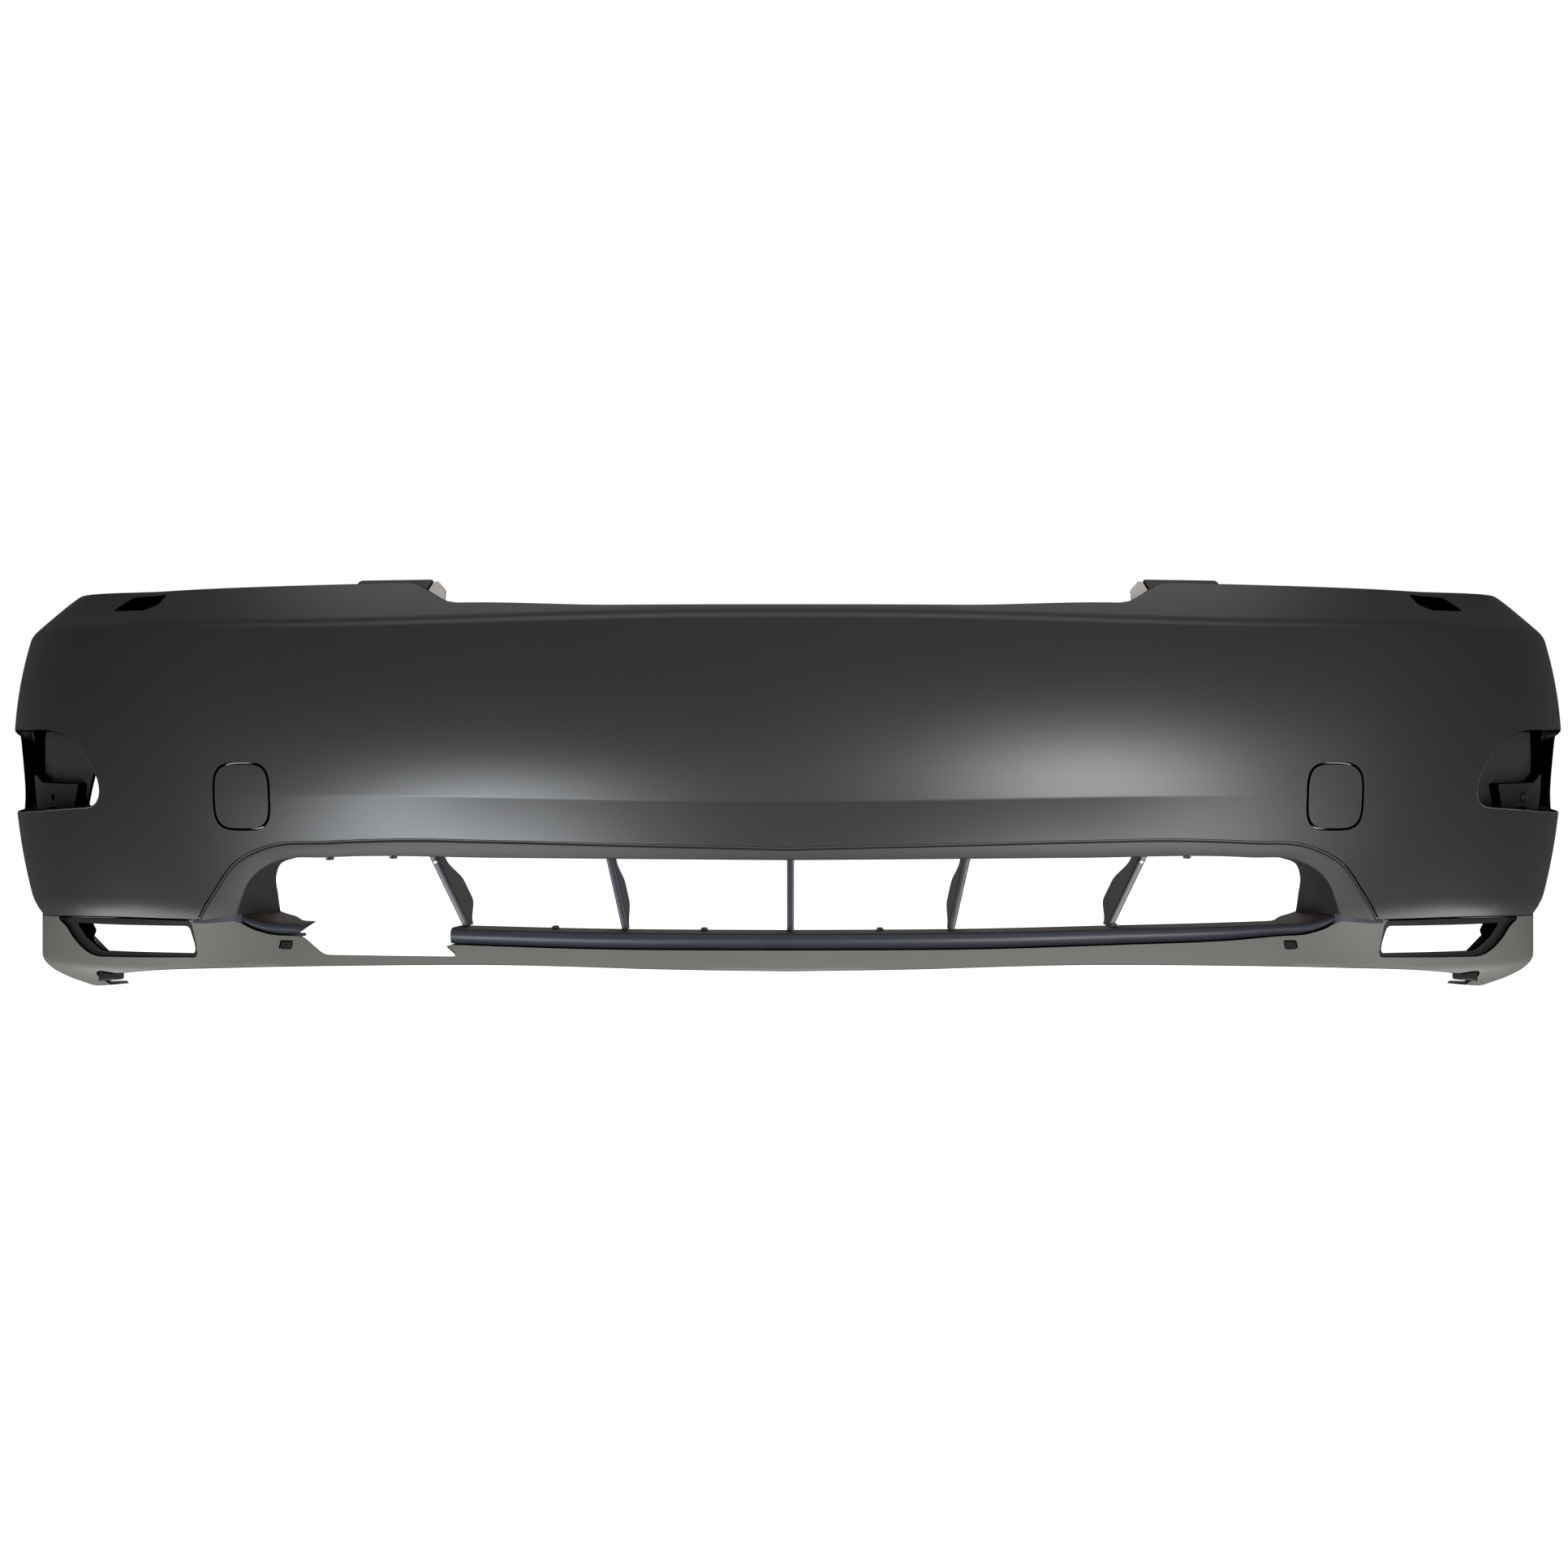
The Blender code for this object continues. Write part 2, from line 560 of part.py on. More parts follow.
def make_surround(material):
    border, front, rear = arch_lines(ARCH_STEPS)
    half = tuck_line(ARCH_STEPS)
    tucks = np.concatenate([mirrored(half)[:-1], half])
    rings = []
    for k in range(len(border)):
        b, o = border[k], tucks[k]
        sunk = WALL + 2 * GAP
        out = (o - b) / np.linalg.norm(o - b)       # square to the edge, away from the opening
        edge, n_edge = FACE(b[0], b[1])
        step, lap = FACE(*(b - out * 0.0022))[0], FACE(*(b - out * 0.0030))[0]
        tuck, n_tuck = FACE(o[0], o[1])
        inner, n_in = FACE(front[k][0], front[k][1])
        into = inner - edge
        into /= np.linalg.norm(into)
        back = on_bow(rear[k][0], rear[k][1], 0.0)
        depth = duct_depth(abs(rear[k][0]))
        back = np.array([back[0], inner[1] + depth, back[2]])
        back_out = back - into * LIP_WALL
        rings.append(np.array([
            tuck - sunk * n_tuck,
            edge - sunk * n_edge,
            step - sunk * n_edge,
            lap - 0.0014 * n_edge,
            inner - 0.0014 * n_in,
            back,
            back_out,
            inner - into * LIP_WALL - (0.0014 + LIP_WALL) * n_in,
            FACE(*(b + out * 0.001))[0] - (sunk + LIP_WALL) * n_edge,
            tuck - (sunk + LIP_WALL) * n_tuck]))
    return loft("grille_surround", rings, material)


def rail_stations(low, high):
    """Stations that share the facets of the valance's top edge."""
    line = resampled(spline(LIP_TOP, 240), 0.014)[:, 0]
    both = np.concatenate([-line[::-1], line[1:]])
    return np.array([low, *both[(both > low + 0.003) & (both < high - 0.003)], high])


def rail_rings(s_values):
    rings = []
    for s in s_values:
        foot = level(LIP_TOP, s) + 2 * GAP
        head = level(RAIL_TOP, s)
        tall = head - foot
        near = lip_setback(s, level(LIP_TOP, s))
        shape = [(near + 0.004, foot), (near + 0.0005, foot + 0.2 * tall),
                 (near - 0.001, foot + 0.5 * tall), (near + 0.001, foot + 0.82 * tall),
                 (near + 0.005, head - 0.0006), (near + 0.010, head),
                 (near + RAIL_DEPTH, head), (near + RAIL_DEPTH, foot)]
        rings.append(np.array([on_bow(s, z, n) for n, z in shape]))
    return rings


def make_rib(name, k, material):
    top_s, foot_s = RIB_TOPS[k], RIB_FEET[k]
    head = level(ARCH_FRONT, top_s) - GAP
    foot = level(RAIL_TOP, foot_s) + GAP
    start = on_bow(top_s, 0, setback(top_s, head))
    end = on_bow(foot_s, 0, lip_setback(foot_s, level(LIP_TOP, foot_s)))
    rings = []
    for t in np.linspace(0, 1, 13):
        x = start[0] + (end[0] - start[0]) * t
        y = max(start[1] + RIB_FRONT + (end[1] - start[1]) * t, start[1] + 0.006)
        belly = float(0.58 + 0.42 * ease(0.08, 0.42, t) - 0.62 * ease(0.66, 1.0, t))
        deep = min(RIB_DEPTH * belly, duct_depth(0) - RIB_FRONT - 0.002 if t == 0 else 1)
        w, bead = RIB_THICKNESS / 2, RIB_BEAD / 2
        z = head + (foot - head) * t
        rings.append(np.array([(x - bead, y + 0.001, z), (x - bead * 0.6, y, z),
                               (x + bead * 0.6, y, z), (x + bead, y + 0.001, z),
                               (x + bead, y + 0.004, z), (x + w, y + 0.0055, z),
                               (x + w, y + deep, z), (x - w, y + deep, z),
                               (x - w, y + 0.0055, z), (x - bead, y + 0.004, z)]))
    return loft(name, rings, material)


def rib_front(k, t):
    top_s, foot_s = RIB_TOPS[k], RIB_FEET[k]
    start = on_bow(top_s, 0, setback(top_s, level(ARCH_FRONT, top_s)))
    head = level(ARCH_FRONT, top_s)
    foot = level(RAIL_TOP, foot_s)
    end = on_bow(foot_s, 0, lip_setback(foot_s, level(LIP_TOP, foot_s)))
    return start + (end - start) * t + (0, RIB_FRONT, 0) + (0, 0, head + (foot - head) * t)


# ---------------------------------------------------------------- valance
def valance_outline():
    over = resampled(spline(LOWER_EDGE, 60) - (0, GAP), 0.035)
    over = over[(over[:, 0] > LIP_TOP[-1][0] + 0.004) & (over[:, 0] < 1.17 * SPAN)]
    under = resampled(spline(LIP_BOTTOM, 400), 0.011)
    top = resampled(spline(LIP_TOP, 240), 0.014)
    right_top = np.concatenate([top, over, [(1.17 * SPAN, level(LOWER_EDGE, 1.17 * SPAN) - GAP)]])
    left_top = mirrored(right_top)
    notch_low, notch_high = SENSOR_NOTCH[0][0], SENSOR_NOTCH[-1][0]
    before = left_top[left_top[:, 0] < notch_low - 0.004]
    after = left_top[left_top[:, 0] > notch_high + 0.004]
    cut = rounded_line(SENSOR_NOTCH, 0.006)
    # along the bottom from left to right, then back over the top
    bottom = np.concatenate([mirrored(under)[:-1], under])
    top_line = np.concatenate([before, cut, after[after[:, 0] < 0], right_top])
    return chain([bottom, top_line[::-1]])


def rounded_line(points, radius):
    points = np.asarray(points, float)
    out = [points[0]]
    for p, q, r in zip(points, points[1:], points[2:]):
        a, b = p - q, r - q
        a, b = q + a / np.linalg.norm(a) * radius, q + b / np.linalg.norm(b) * radius
        out += [(1 - t)**2 * a + 2 * t * (1 - t) * q + t * t * b for t in np.linspace(0, 1, 4)]
    out.append(points[-1])
    return resampled(np.array(out), 0.02) if len(out) < 3 else np.array(out)


def lip_clip_loop(side, shrink=0.0):
    w, h = 0.009 - shrink, 0.0045 - shrink
    c = LIP_CLIP_AT * (side, 1)
    return rounded(rectangle(c - (w, h), c + (w, h)), 0.0015)


def make_valance(material):
    seeds = []
    for s in stations(1.155 * SPAN, 0.04, 0.6 * SPAN, 0.03):
        low = level(LIP_BOTTOM, s)
        high = level(LIP_TOP, s) if abs(s) < LIP_TOP[-1][0] else level(LOWER_EDGE, s)
        seeds += [(s, low + (high - low) * t) for t in (0.16, 0.34, 0.56, 0.8)]
    holes = [fog_loop(side) for side in (-1, 1)] + [lip_clip_loop(side) for side in (-1, 1)]
    for side in (-1, 1):
        seeds += list(fog_loop(side, BEZEL_LAP + 0.001)[::2])

    def rim(s, z, normal, inward):
        a, reach = np.abs(s), np.zeros((len(s), 3))
        flat = normal.copy()
        flat[:, 2] = 0
        flat /= np.linalg.norm(flat, axis=1, keepdims=True)
        shelf = (np.abs(z - level(LIP_TOP, s)) < 1e-4) & (a < LIP_TOP[-2][0])
        reach[shelf] = -flat[shelf] * (RAIL_DEPTH - 0.004)
        keel = (np.abs(z - level(LIP_BOTTOM, s)) < 1e-4)
        reach[keel] = -flat[keel] * 0.024
        return reach

    return moulding("lower_valance", LIP, [valance_outline()] + holes, material, LIP_WALL, seeds,
                    0.0031, rim)


# ---------------------------------------------------------------- build
def build():
    painted = paint("dark_primer", (0.021, 0.021, 0.023), 0.42)
    texture = paint("grey_moulding", (0.10, 0.10, 0.10), 0.55)
    valance = paint("valance_grey", (0.14, 0.14, 0.14), 0.5)
    black = paint("black_moulding", (0.012, 0.012, 0.014), 0.5)
    navy = paint("rib_black", (0.02, 0.022, 0.035), 0.35)
    brown = paint("bracket_dark", (0.03, 0.026, 0.025), 0.6)
    pale = paint("pale_plate", (0.45, 0.43, 0.41), 0.6)
    clip = paint("clip_black", (0.015, 0.015, 0.016), 0.55)
    steel = paint("screw_steel", (0.5, 0.5, 0.5), 0.3)

    cover = make_cover(painted)
    for k, s in enumerate(TOP_TABS):
        z = float(top_edge(s)) - 0.0012
        at = on_bow(s, z, setback(s, z))
        tab = box(f"top_tab_{k}", at + (-TAB / 2, -0.0005, -0.0026), at + (TAB / 2, 0.026, 0), painted)
        join(cover, tab)
    for side in (-1, 1):
        end, n = FACE(side * (WING_END - 0.05), 0.06 * RISE)
        inboard = end - n * (WALL * 0.5)
        tab = box(f"wing_tab_{side + 1}", inboard + (0, -0.016, -0.02),
                  inboard + (-side * 0.022, 0.016, -0.017), painted)
        join(cover, tab)
    for side, word in ((-1, "left"), (1, "right")):
        make_tow_cover(f"tow_cover_{word}", side, painted)

    make_surround(texture)
    lip = make_valance(valance)
    for k, s in enumerate(LIP_TABS):
        z = float(level(LIP_BOTTOM, s)) + 0.0005
        at = on_bow(s, z, lip_setback(s, z))
        tab = box(f"lip_tab_{k}", at + (-TAB / 2, 0.018, 0), at + (TAB / 2, 0.058, LIP_WALL), valance)
        join(lip, tab)

    end = LIP_TOP[-2][0] - 0.008
    loft("lower_rail_main", rail_rings(rail_stations(SENSOR_NOTCH[-1][0] + 0.004, end)), black)
    loft("lower_rail_stub", rail_rings(rail_stations(-end, SENSOR_NOTCH[0][0] - 0.002)), black)
    for k in range(5):
        make_rib(f"grille_rib_{k + 1}", k, navy)

    for side, word in ((-1, "left"), (1, "right")):
        # bracket behind the side-marker hole: a tray whose walls reach the back of the skin
        tray = sheet_of(setback, BRACKET_DEPTH)
        low, high = PLACE * (0.703, -0.047), PLACE * (1.105, 0.077)
        outer = rounded(side_loop(rectangle(low, high), side), 0.018)
        outer = anticlockwise(chain([resampled(np.concatenate([outer, outer[:1]]), 0.018)]))
        window = rounded(side_loop(BRACKET_WINDOW, side), 0.004)
        seeds = [(side * s, z) for s in np.arange(0.745, 1.09, 0.026) * SPAN
                 for z in np.linspace(low[1], high[1], 7)[1:-1]]
        forward = BRACKET_DEPTH - WALL - GAP - 0.0005
        moulding(f"marker_bracket_{word}", tray, [outer, window], brown, TRAY_WALL, seeds, 0.006,
                 lambda s, z, normal, inward, f=forward: np.where(
                     (clearance(BRACKET_WINDOW, np.stack([np.abs(s), z], axis=1)) < 0.005)[:, None],
                     0, -f * normal), flip=True)
        # foot of the bracket, a small boxed plate in front of the tray
        foot_depth = MARKER_RETURN + 0.0015
        plate = sheet_of(setback, foot_depth)
        low, high = PLACE * (0.828, -0.038), PLACE * (0.93, -0.001)
        outer = rounded(side_loop(rectangle(low, high), side), 0.004)
        outer = anticlockwise(chain([resampled(np.concatenate([outer, outer[:1]]), 0.012)]))
        centre = PIN_AT * (side, 1)
        hole = squircle(centre, PIN_SHANK + 2 * GAP, PIN_SHANK + 2 * GAP, 16)
        hole = centre + (hole - centre) / np.linalg.norm(hole - centre, axis=1,
                                                         keepdims=True) * (PIN_SHANK / 2 + 3 * GAP)
        reach = BRACKET_DEPTH - TRAY_WALL - foot_depth - 2 * GAP
        moulding(f"marker_foot_{word}", plate, [outer, hole], black, 0.002,
                 [(side * s, z) for s in np.array([0.85, 0.89, 0.91]) * SPAN
                  for z in (-0.03 * RISE, -0.008 * RISE)], 0.003,
                 lambda s, z, normal, inward, c=centre, r=reach: np.where(
                     (np.hypot(s - c[0], z - c[1]) > 0.006)[:, None], -r * normal, 0))
        if side > 0:
            at, n = plate(centre[0], centre[1])
            r = PIN_SHANK / 2
            turned("marker_push_pin", at + n * 2 * GAP, n,
                   [(-0.010, r * 0.45), (-0.006, r), (0, r), (0.00001, 0.006), (0.0012, 0.006),
                    (0.0024, 0.0042)], clip)

        # retainer behind the top edge and the pale plate beside it
        behind = sheet_of(setback, WALL + 2 * GAP)
        loop = rounded(side_loop(rectangle(PLACE * (0.399, 0.197), PLACE * (0.486, 0.2248)), side),
                       0.003)
        moulding(f"upper_retainer_{word}", behind, [loop], black, 0.0035,
                 [(side * s, 0.210 * RISE) for s in np.array([0.42, 0.44, 0.455, 0.47]) * SPAN],
                 0.004)
        loop = rounded(side_loop(PLACE * [(0.3705, 0.188), (0.3975, 0.188), (0.3975, 0.2222),
                                          (0.3925, 0.2222), (0.3775, 0.2108), (0.3715, 0.1975)],
                                 side), 0.0015)
        moulding(f"upper_plate_{word}", behind, [loop], pale, 0.002,
                 [(side * 0.386 * SPAN, 0.202 * RISE)], 0.004)

        # well behind the washer hole: a closed cup whose walls reach the back of the skin
        floor = sheet_of(setback, WELL_DEPTH)
        outer = rounded(side_loop(rectangle(WELL_LOW, WELL_HIGH), side), 0.006)
        outer = anticlockwise(chain([resampled(np.concatenate([outer, outer[:1]]), 0.010)]))
        rise = WELL_DEPTH - WALL - GAP - 0.0005
        moulding(f"washer_well_{word}", floor, [outer], black, TRAY_WALL,
                 [(side * s, z) for s in np.linspace(WELL_LOW[0], WELL_HIGH[0], 8)[1:-1]
                  for z in np.linspace(WELL_LOW[1], WELL_HIGH[1], 4)[1:-1]], 0.005,
                 lambda s, z, normal, inward, f=rise: -f * normal, flip=True)

        # bezel behind the fog-lamp hole
        seat = sheet_of(lip_setback, LIP_WALL + 3 * GAP)
        moulding(f"fog_bezel_{word}", seat, [fog_loop(side, BEZEL_LAP),
                                             fog_inner(side)], black, 0.0022,
                 (), 0.004,
                 lambda s, z, normal, inward, c=side: np.where(
                     (clearance(fog_inner(c), np.stack([s, z], axis=1)) < 0.001)
                     [:, None], -0.022 * normal, 0))

        # clips
        plug = sheet_of(lip_setback, 0.0008)
        moulding(f"lip_clip_{word}", plug, [lip_clip_loop(side, GAP)], clip, 0.0018)
        rings = []
        for s in np.linspace(0.744, 0.819, 6):
            high = level(LIP_BOTTOM, s * SPAN) - 2 * GAP
            low = high - 0.0040 - 0.0045 * ease(0.744, 0.819, s)
            near = lip_setback(s * SPAN, level(LIP_BOTTOM, s * SPAN)) + 0.002
            rings.append(np.array([on_bow(side * s * SPAN, z, n) for n, z in (
                (near, high), (near, low + 0.0010), (near + 0.001, low), (near + 0.013, low),
                (near + 0.014, low + 0.0010), (near + 0.014, high))]))
        loft(f"corner_clip_{word}", rings, clip)

    for k, s in enumerate(ARCH_CLIPS):
        z = float(level(ARCH_FRONT, s)) - GAP
        at = on_bow(s, z, setback(s, z) + 0.006)
        box(f"arch_clip_{k + 1}", at + (-0.004, 0, -0.003), at + (0.004, 0.012, 0.0003), clip)
    for k, s in enumerate(RAIL_CLIPS):
        z = float(level(RAIL_TOP, s)) + GAP
        at = on_bow(s, z, lip_setback(s, level(LIP_TOP, s)) + 0.016)
        box(f"rail_clip_{k + 1}", at + (-0.0045, 0, 0.0002), at + (0.0045, 0.014, 0.0035), clip)
    for k, word in ((0, "left"), (4, "right")):
        at = rib_front(k, 0.08)
        hole = turned(f"rib_hole_{word}", at + (0, 0.011, 0), (0, -1, 0),
                      [(0, 0.0011), (0.013, 0.0011)], steel, 12)
        join(bpy.data.objects[f"grille_rib_{k + 1}"], hole, "DIFFERENCE")
        turned(f"rib_screw_{word}", at, (0, -1, 0),
               [(-0.008, 0.0008), (GAP, 0.0008), (GAP + 0.00001, 0.0024), (GAP + 0.0012, 0.002)],
               steel, 12)


def set_down():
    """Stands the part on z = 0 with the middle of its box over the origin."""
    ends = [np.array([v.co for v in obj.data.vertices]) for obj in bpy.data.objects
            if not obj.hide_render]
    low = np.min([e.min(axis=0) for e in ends], axis=0)
    high = np.max([e.max(axis=0) for e in ends], axis=0)
    move = Vector((0, -(low[1] + high[1]) / 2, -low[2]))
    for obj in bpy.data.objects:
        obj.data.transform(Matrix.Translation(move))
    return move


for old in list(bpy.data.objects):
    bpy.data.objects.remove(old, do_unlink=True)
build()
set_down()
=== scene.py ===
"""The bumper cover as it looks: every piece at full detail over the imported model.

A place on the skin is (s, z): s is the distance along the bow from the middle, positive to +X,
and z the height over the datum through the middle of the face.
"""
import json
import math

import bmesh
import bpy
import numpy as np
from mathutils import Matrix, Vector
from mathutils.geometry import delaunay_2d_cdt

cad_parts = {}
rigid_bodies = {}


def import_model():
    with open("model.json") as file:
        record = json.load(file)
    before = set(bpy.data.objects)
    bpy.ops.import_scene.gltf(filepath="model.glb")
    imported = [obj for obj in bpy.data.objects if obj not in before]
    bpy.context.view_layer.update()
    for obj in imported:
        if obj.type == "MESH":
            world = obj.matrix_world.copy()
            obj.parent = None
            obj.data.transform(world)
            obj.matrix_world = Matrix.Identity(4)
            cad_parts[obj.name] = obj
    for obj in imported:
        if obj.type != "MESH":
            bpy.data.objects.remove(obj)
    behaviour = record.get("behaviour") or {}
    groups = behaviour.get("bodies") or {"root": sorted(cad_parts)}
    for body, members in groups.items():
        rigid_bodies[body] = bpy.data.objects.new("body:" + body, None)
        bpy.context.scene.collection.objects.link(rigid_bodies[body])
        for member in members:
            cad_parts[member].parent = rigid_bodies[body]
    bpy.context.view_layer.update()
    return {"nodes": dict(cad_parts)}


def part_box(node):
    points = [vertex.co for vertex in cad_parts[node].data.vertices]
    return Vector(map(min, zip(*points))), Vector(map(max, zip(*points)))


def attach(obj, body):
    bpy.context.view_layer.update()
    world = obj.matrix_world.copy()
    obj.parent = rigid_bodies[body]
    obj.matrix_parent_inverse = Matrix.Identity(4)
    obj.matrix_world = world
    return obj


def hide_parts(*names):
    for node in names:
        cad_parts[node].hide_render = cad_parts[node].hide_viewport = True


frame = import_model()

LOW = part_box("lower_valance")[0]
FRONT = min(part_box(n)[0].y for n in frame["nodes"])
# the datum that the shapes are drawn about, in the frame of the model
DATUM = np.array([0.0, FRONT, LOW.z + 0.22754])
COVER = "cover"
SIDES = ((-1, "left"), (1, "right"))

# ---------------------------------------------------------------- sizes, metres
WALL = 0.003
LIP_WALL = 0.0028
GAP = 0.0003
TOW_CUT_WIDTH, TOW_CUT_HEIGHT, TOW_REVEAL, SKIRT = 0.062, 0.070, 0.0013, 0.009
RIB_THICKNESS, RIB_BEAD, RIB_DEPTH = 0.0024, 0.0072, 0.118
RAIL_DEPTH = 0.046
MARKER_RETURN, BRACKET_DEPTH, TRAY_WALL, FOOT_DEPTH = 0.020, 0.036, 0.0025, 0.0215
PIN_SHANK = 0.0062
BOW = 0.30
CORNER_START, CORNER_END, CORNER_TURN = 0.57, 1.12, math.radians(64)
WING_END = 1.335
TOP_MIDDLE, TOP_STEP, STEP_START, STEP_END = 0.1862, 0.0304, 0.352, 0.424
SHOULDER_MIDDLE, SHOULDER_FALL = 0.176, 0.008
CREASE_MIDDLE, CREASE_LIFT, BELT = -0.018, 0.006, 0.035
BORDER = [(0, -0.0655), (0.143, -0.0622), (0.311, -0.0583), (0.396, -0.0569), (0.483, -0.0596),
          (0.545, -0.0641), (0.582, -0.0813), (0.610, -0.114), (0.633, -0.1432)]
LOWER_EDGE = [(0.633, -0.1432), (0.735, -0.1424), (0.894, -0.1463), (1.05, -0.150),
              (1.19, -0.152)]
WHEEL_ARCH = [(1.19, -0.152), (1.25, -0.105), (1.297, -0.035), (1.325, 0.04), (1.335, 0.10)]
ARCH_FRONT = [(0, -0.0785), (0.15, -0.0775), (0.3, -0.0765), (0.482, -0.0765), (0.537, -0.0808),
              (0.5575, -0.0918), (0.5703, -0.1048), (0.5793, -0.1223), (0.5858, -0.1372)]
ARCH_BACK = [(0, -0.0785), (0.15, -0.0775), (0.3, -0.0765), (0.480, -0.0760), (0.533, -0.0795),
             (0.5535, -0.0875), (0.5585, -0.1005), (0.5575, -0.120), (0.556, -0.1418)]
LIP_TOP = [(0, -0.1703), (0.2, -0.1695), (0.35, -0.166), (0.47, -0.1625), (0.52, -0.1590),
           (0.552, -0.1572), (0.574, -0.1515), (0.590, -0.1445), (0.608, -0.1452),
           (0.625, -0.1462)]
LIP_BOTTOM = [(0, -0.191), (0.145, -0.189), (0.226, -0.187), (0.30, -0.186), (0.37, -0.1865),
              (0.445, -0.1878), (0.53, -0.190), (0.60, -0.1935), (0.70, -0.199),
              (0.745, -0.2035), (0.7915, -0.2092), (0.795, -0.2185), (0.81, -0.2200),
              (0.838, -0.2225), (0.87, -0.2252), (0.95, -0.2270), (1.17, -0.227)]
LIP_END, KEEL_DEPTH = LIP_BOTTOM[-1][0], 0.024
RAIL_TOP = [(0, -0.1525), (0.2, -0.1515), (0.35, -0.149), (0.45, -0.1475), (0.52, -0.1462),
            (0.54, -0.1456), (0.566, -0.1428), (0.588, -0.1376), (0.612, -0.1402),
            (0.633, -0.1438)]
MARKER_CUT = [(0.764, -0.0242), (0.891, -0.0296), (1.0, -0.031), (1.066, -0.029),
              (1.078, -0.012), (1.072, 0.030), (1.055, 0.054), (1.02, 0.058), (0.869, 0.0578),
              (0.828, 0.0571), (0.788, 0.0478), (0.768, 0.0355), (0.753, 0.0181),
              (0.744, 0.0009), (0.744, -0.0121), (0.750, -0.0207)]
WASHER_CUT = [(0.728, 0.1875), (0.782, 0.1885), (0.784, 0.2049), (0.728, 0.207),
              (0.718, 0.1943)]
FOG_CUT = [(0.644, -0.1446), (0.735, -0.1442), (0.872, -0.1474), (0.846, -0.1560), (0.830, -0.1668),
           (0.8128, -0.1758), (0.7942, -0.1829), (0.7788, -0.1858), (0.6364, -0.1826),
           (0.6355, -0.1783), (0.637, -0.1706)]
FOG_HOLE = [(0.648, -0.1505), (0.826, -0.1518), (0.806, -0.1660), (0.774, -0.1798),
            (0.6400, -0.1790), (0.6405, -0.1706)]
FLANGE_DEEP, FLANGE_SHALLOW = 0.018, 0.004
BRACKET_LOW, BRACKET_HIGH = np.array((0.703, -0.047)), np.array((1.105, 0.077))
BRACKET_WINDOW = [(0.774, -0.027), (0.807, -0.027), (0.7885, 0.011), (0.774, 0.011)]
WELL_DEPTH = 0.024
WELL_LOW, WELL_HIGH = (0.706, 0.1835), (0.795, 0.2098)
SENSOR_NOTCH = [(-0.512, -0.1605), (-0.486, -0.177), (-0.343, -0.1775), (-0.357, -0.1675)]
TOW_AT = np.array([0.571, -0.013])
LIP_CLIP_AT = np.array([0.531, -0.168])
PIN_AT = np.array([0.868, -0.016])
PIN_PROFILE = [(0.00001, 0.0058), (0.0005, 0.0062), (0.0010, 0.0062), (0.0018, 0.0056),
               (0.0022, 0.0044), (0.0024, 0.0042), (0.0016, 0.0036), (0.0014, 0.002),
               (0.0020, 0.0018), (0.0022, 0.0008)]
FOOT_OUTLINE = [(0.803, -0.001), (0.818, -0.038), (0.838, -0.038), (0.856, -0.0275),
                (0.880, -0.0275), (0.902, -0.038), (0.968, -0.038), (0.968, 0.010),
                (0.936, 0.009), (0.905, 0.0005)]
POST_LOW, POST_HIGH, POST_DEPTH = (0.990, -0.038), (1.040, 0.066), 0.0215
SLOT_LOW, SLOT_HIGH = (1.004, -0.026), (1.020, 0.050)
RETAINER_LOW, RETAINER_HIGH = (0.399, 0.197), (0.486, 0.2248)
PLATE_OUTLINE = [(0.3705, 0.188), (0.3975, 0.188), (0.3975, 0.2222), (0.3925, 0.2222),
                 (0.3775, 0.2108), (0.3715, 0.1975)]
CORNER_CLIP, CLIP_DEPTH = (0.757, 0.7985), 0.014
FOOT_FLANGE = (0.584, 0.640)
TUCK, BEZEL_LAP = 0.0085, 0.0026
RIB_TOPS = [-0.3735, -0.1865, 0.0022, 0.1865, 0.3735]
RIB_FEET = [-0.3390, -0.1700, 0.0022, 0.1700, 0.3390]
RIB_FRONT = 0.022
BLUNT = 2.4                  # how much rounder an edge without paint is; these edges also take a pale colour that is partly painted highlight


# ---------------------------------------------------------------- curves and the skin
def ease(low, high, value):
    t = np.clip((np.asarray(value, float) - low) / (high - low), 0.0, 1.0)
    return t * t * (3 - 2 * t)


def ramp(value, soft):
    """0 below nought and the value above it, with a rounded bend."""
    value = np.asarray(value, float)
    return np.where(value < -soft, 0, np.where(value < soft, (value + soft)**2 / (4 * soft), value))


def plan_curve():
    arc = np.linspace(0, 1.7, 3401)
    heading = BOW * arc + CORNER_TURN * ease(CORNER_START, CORNER_END, arc)
    half = np.diff(arc) / 2
    x = np.concatenate([[0], np.cumsum((np.cos(heading[1:]) + np.cos(heading[:-1])) * half)])
    y = np.concatenate([[0], np.cumsum((np.sin(heading[1:]) + np.sin(heading[:-1])) * half)])
    return arc, x, y, heading


ARC, PLAN_X, PLAN_Y, HEADING = plan_curve()


def spline(points, count):
    """Points on a smooth curve that passes through the given ones."""
    points = np.asarray(points, float)
    run = np.concatenate([[0], np.cumsum(np.linalg.norm(np.diff(points, axis=0), axis=1))])
    slope = np.gradient(points, run, axis=0)
    at = np.linspace(0, run[-1], count)
    k = np.clip(np.searchsorted(run, at, side="right") - 1, 0, len(run) - 2)
    step = run[k + 1] - run[k]
    t = ((at - run[k]) / step)[:, None]
    step = step[:, None]
    return ((2 * t**3 - 3 * t**2 + 1) * points[k] + (t**3 - 2 * t**2 + t) * step * slope[k]
            + (3 * t**2 - 2 * t**3) * points[k + 1] + (t**3 - t**2) * step * slope[k + 1])


LINES = {}


def level(line, s):
    """Height of a line of the skin at station s."""
    if id(line) not in LINES:
        LINES[id(line)] = spline(line, 400)
    fine = LINES[id(line)]
    return np.interp(np.abs(s), fine[:, 0], fine[:, 1])


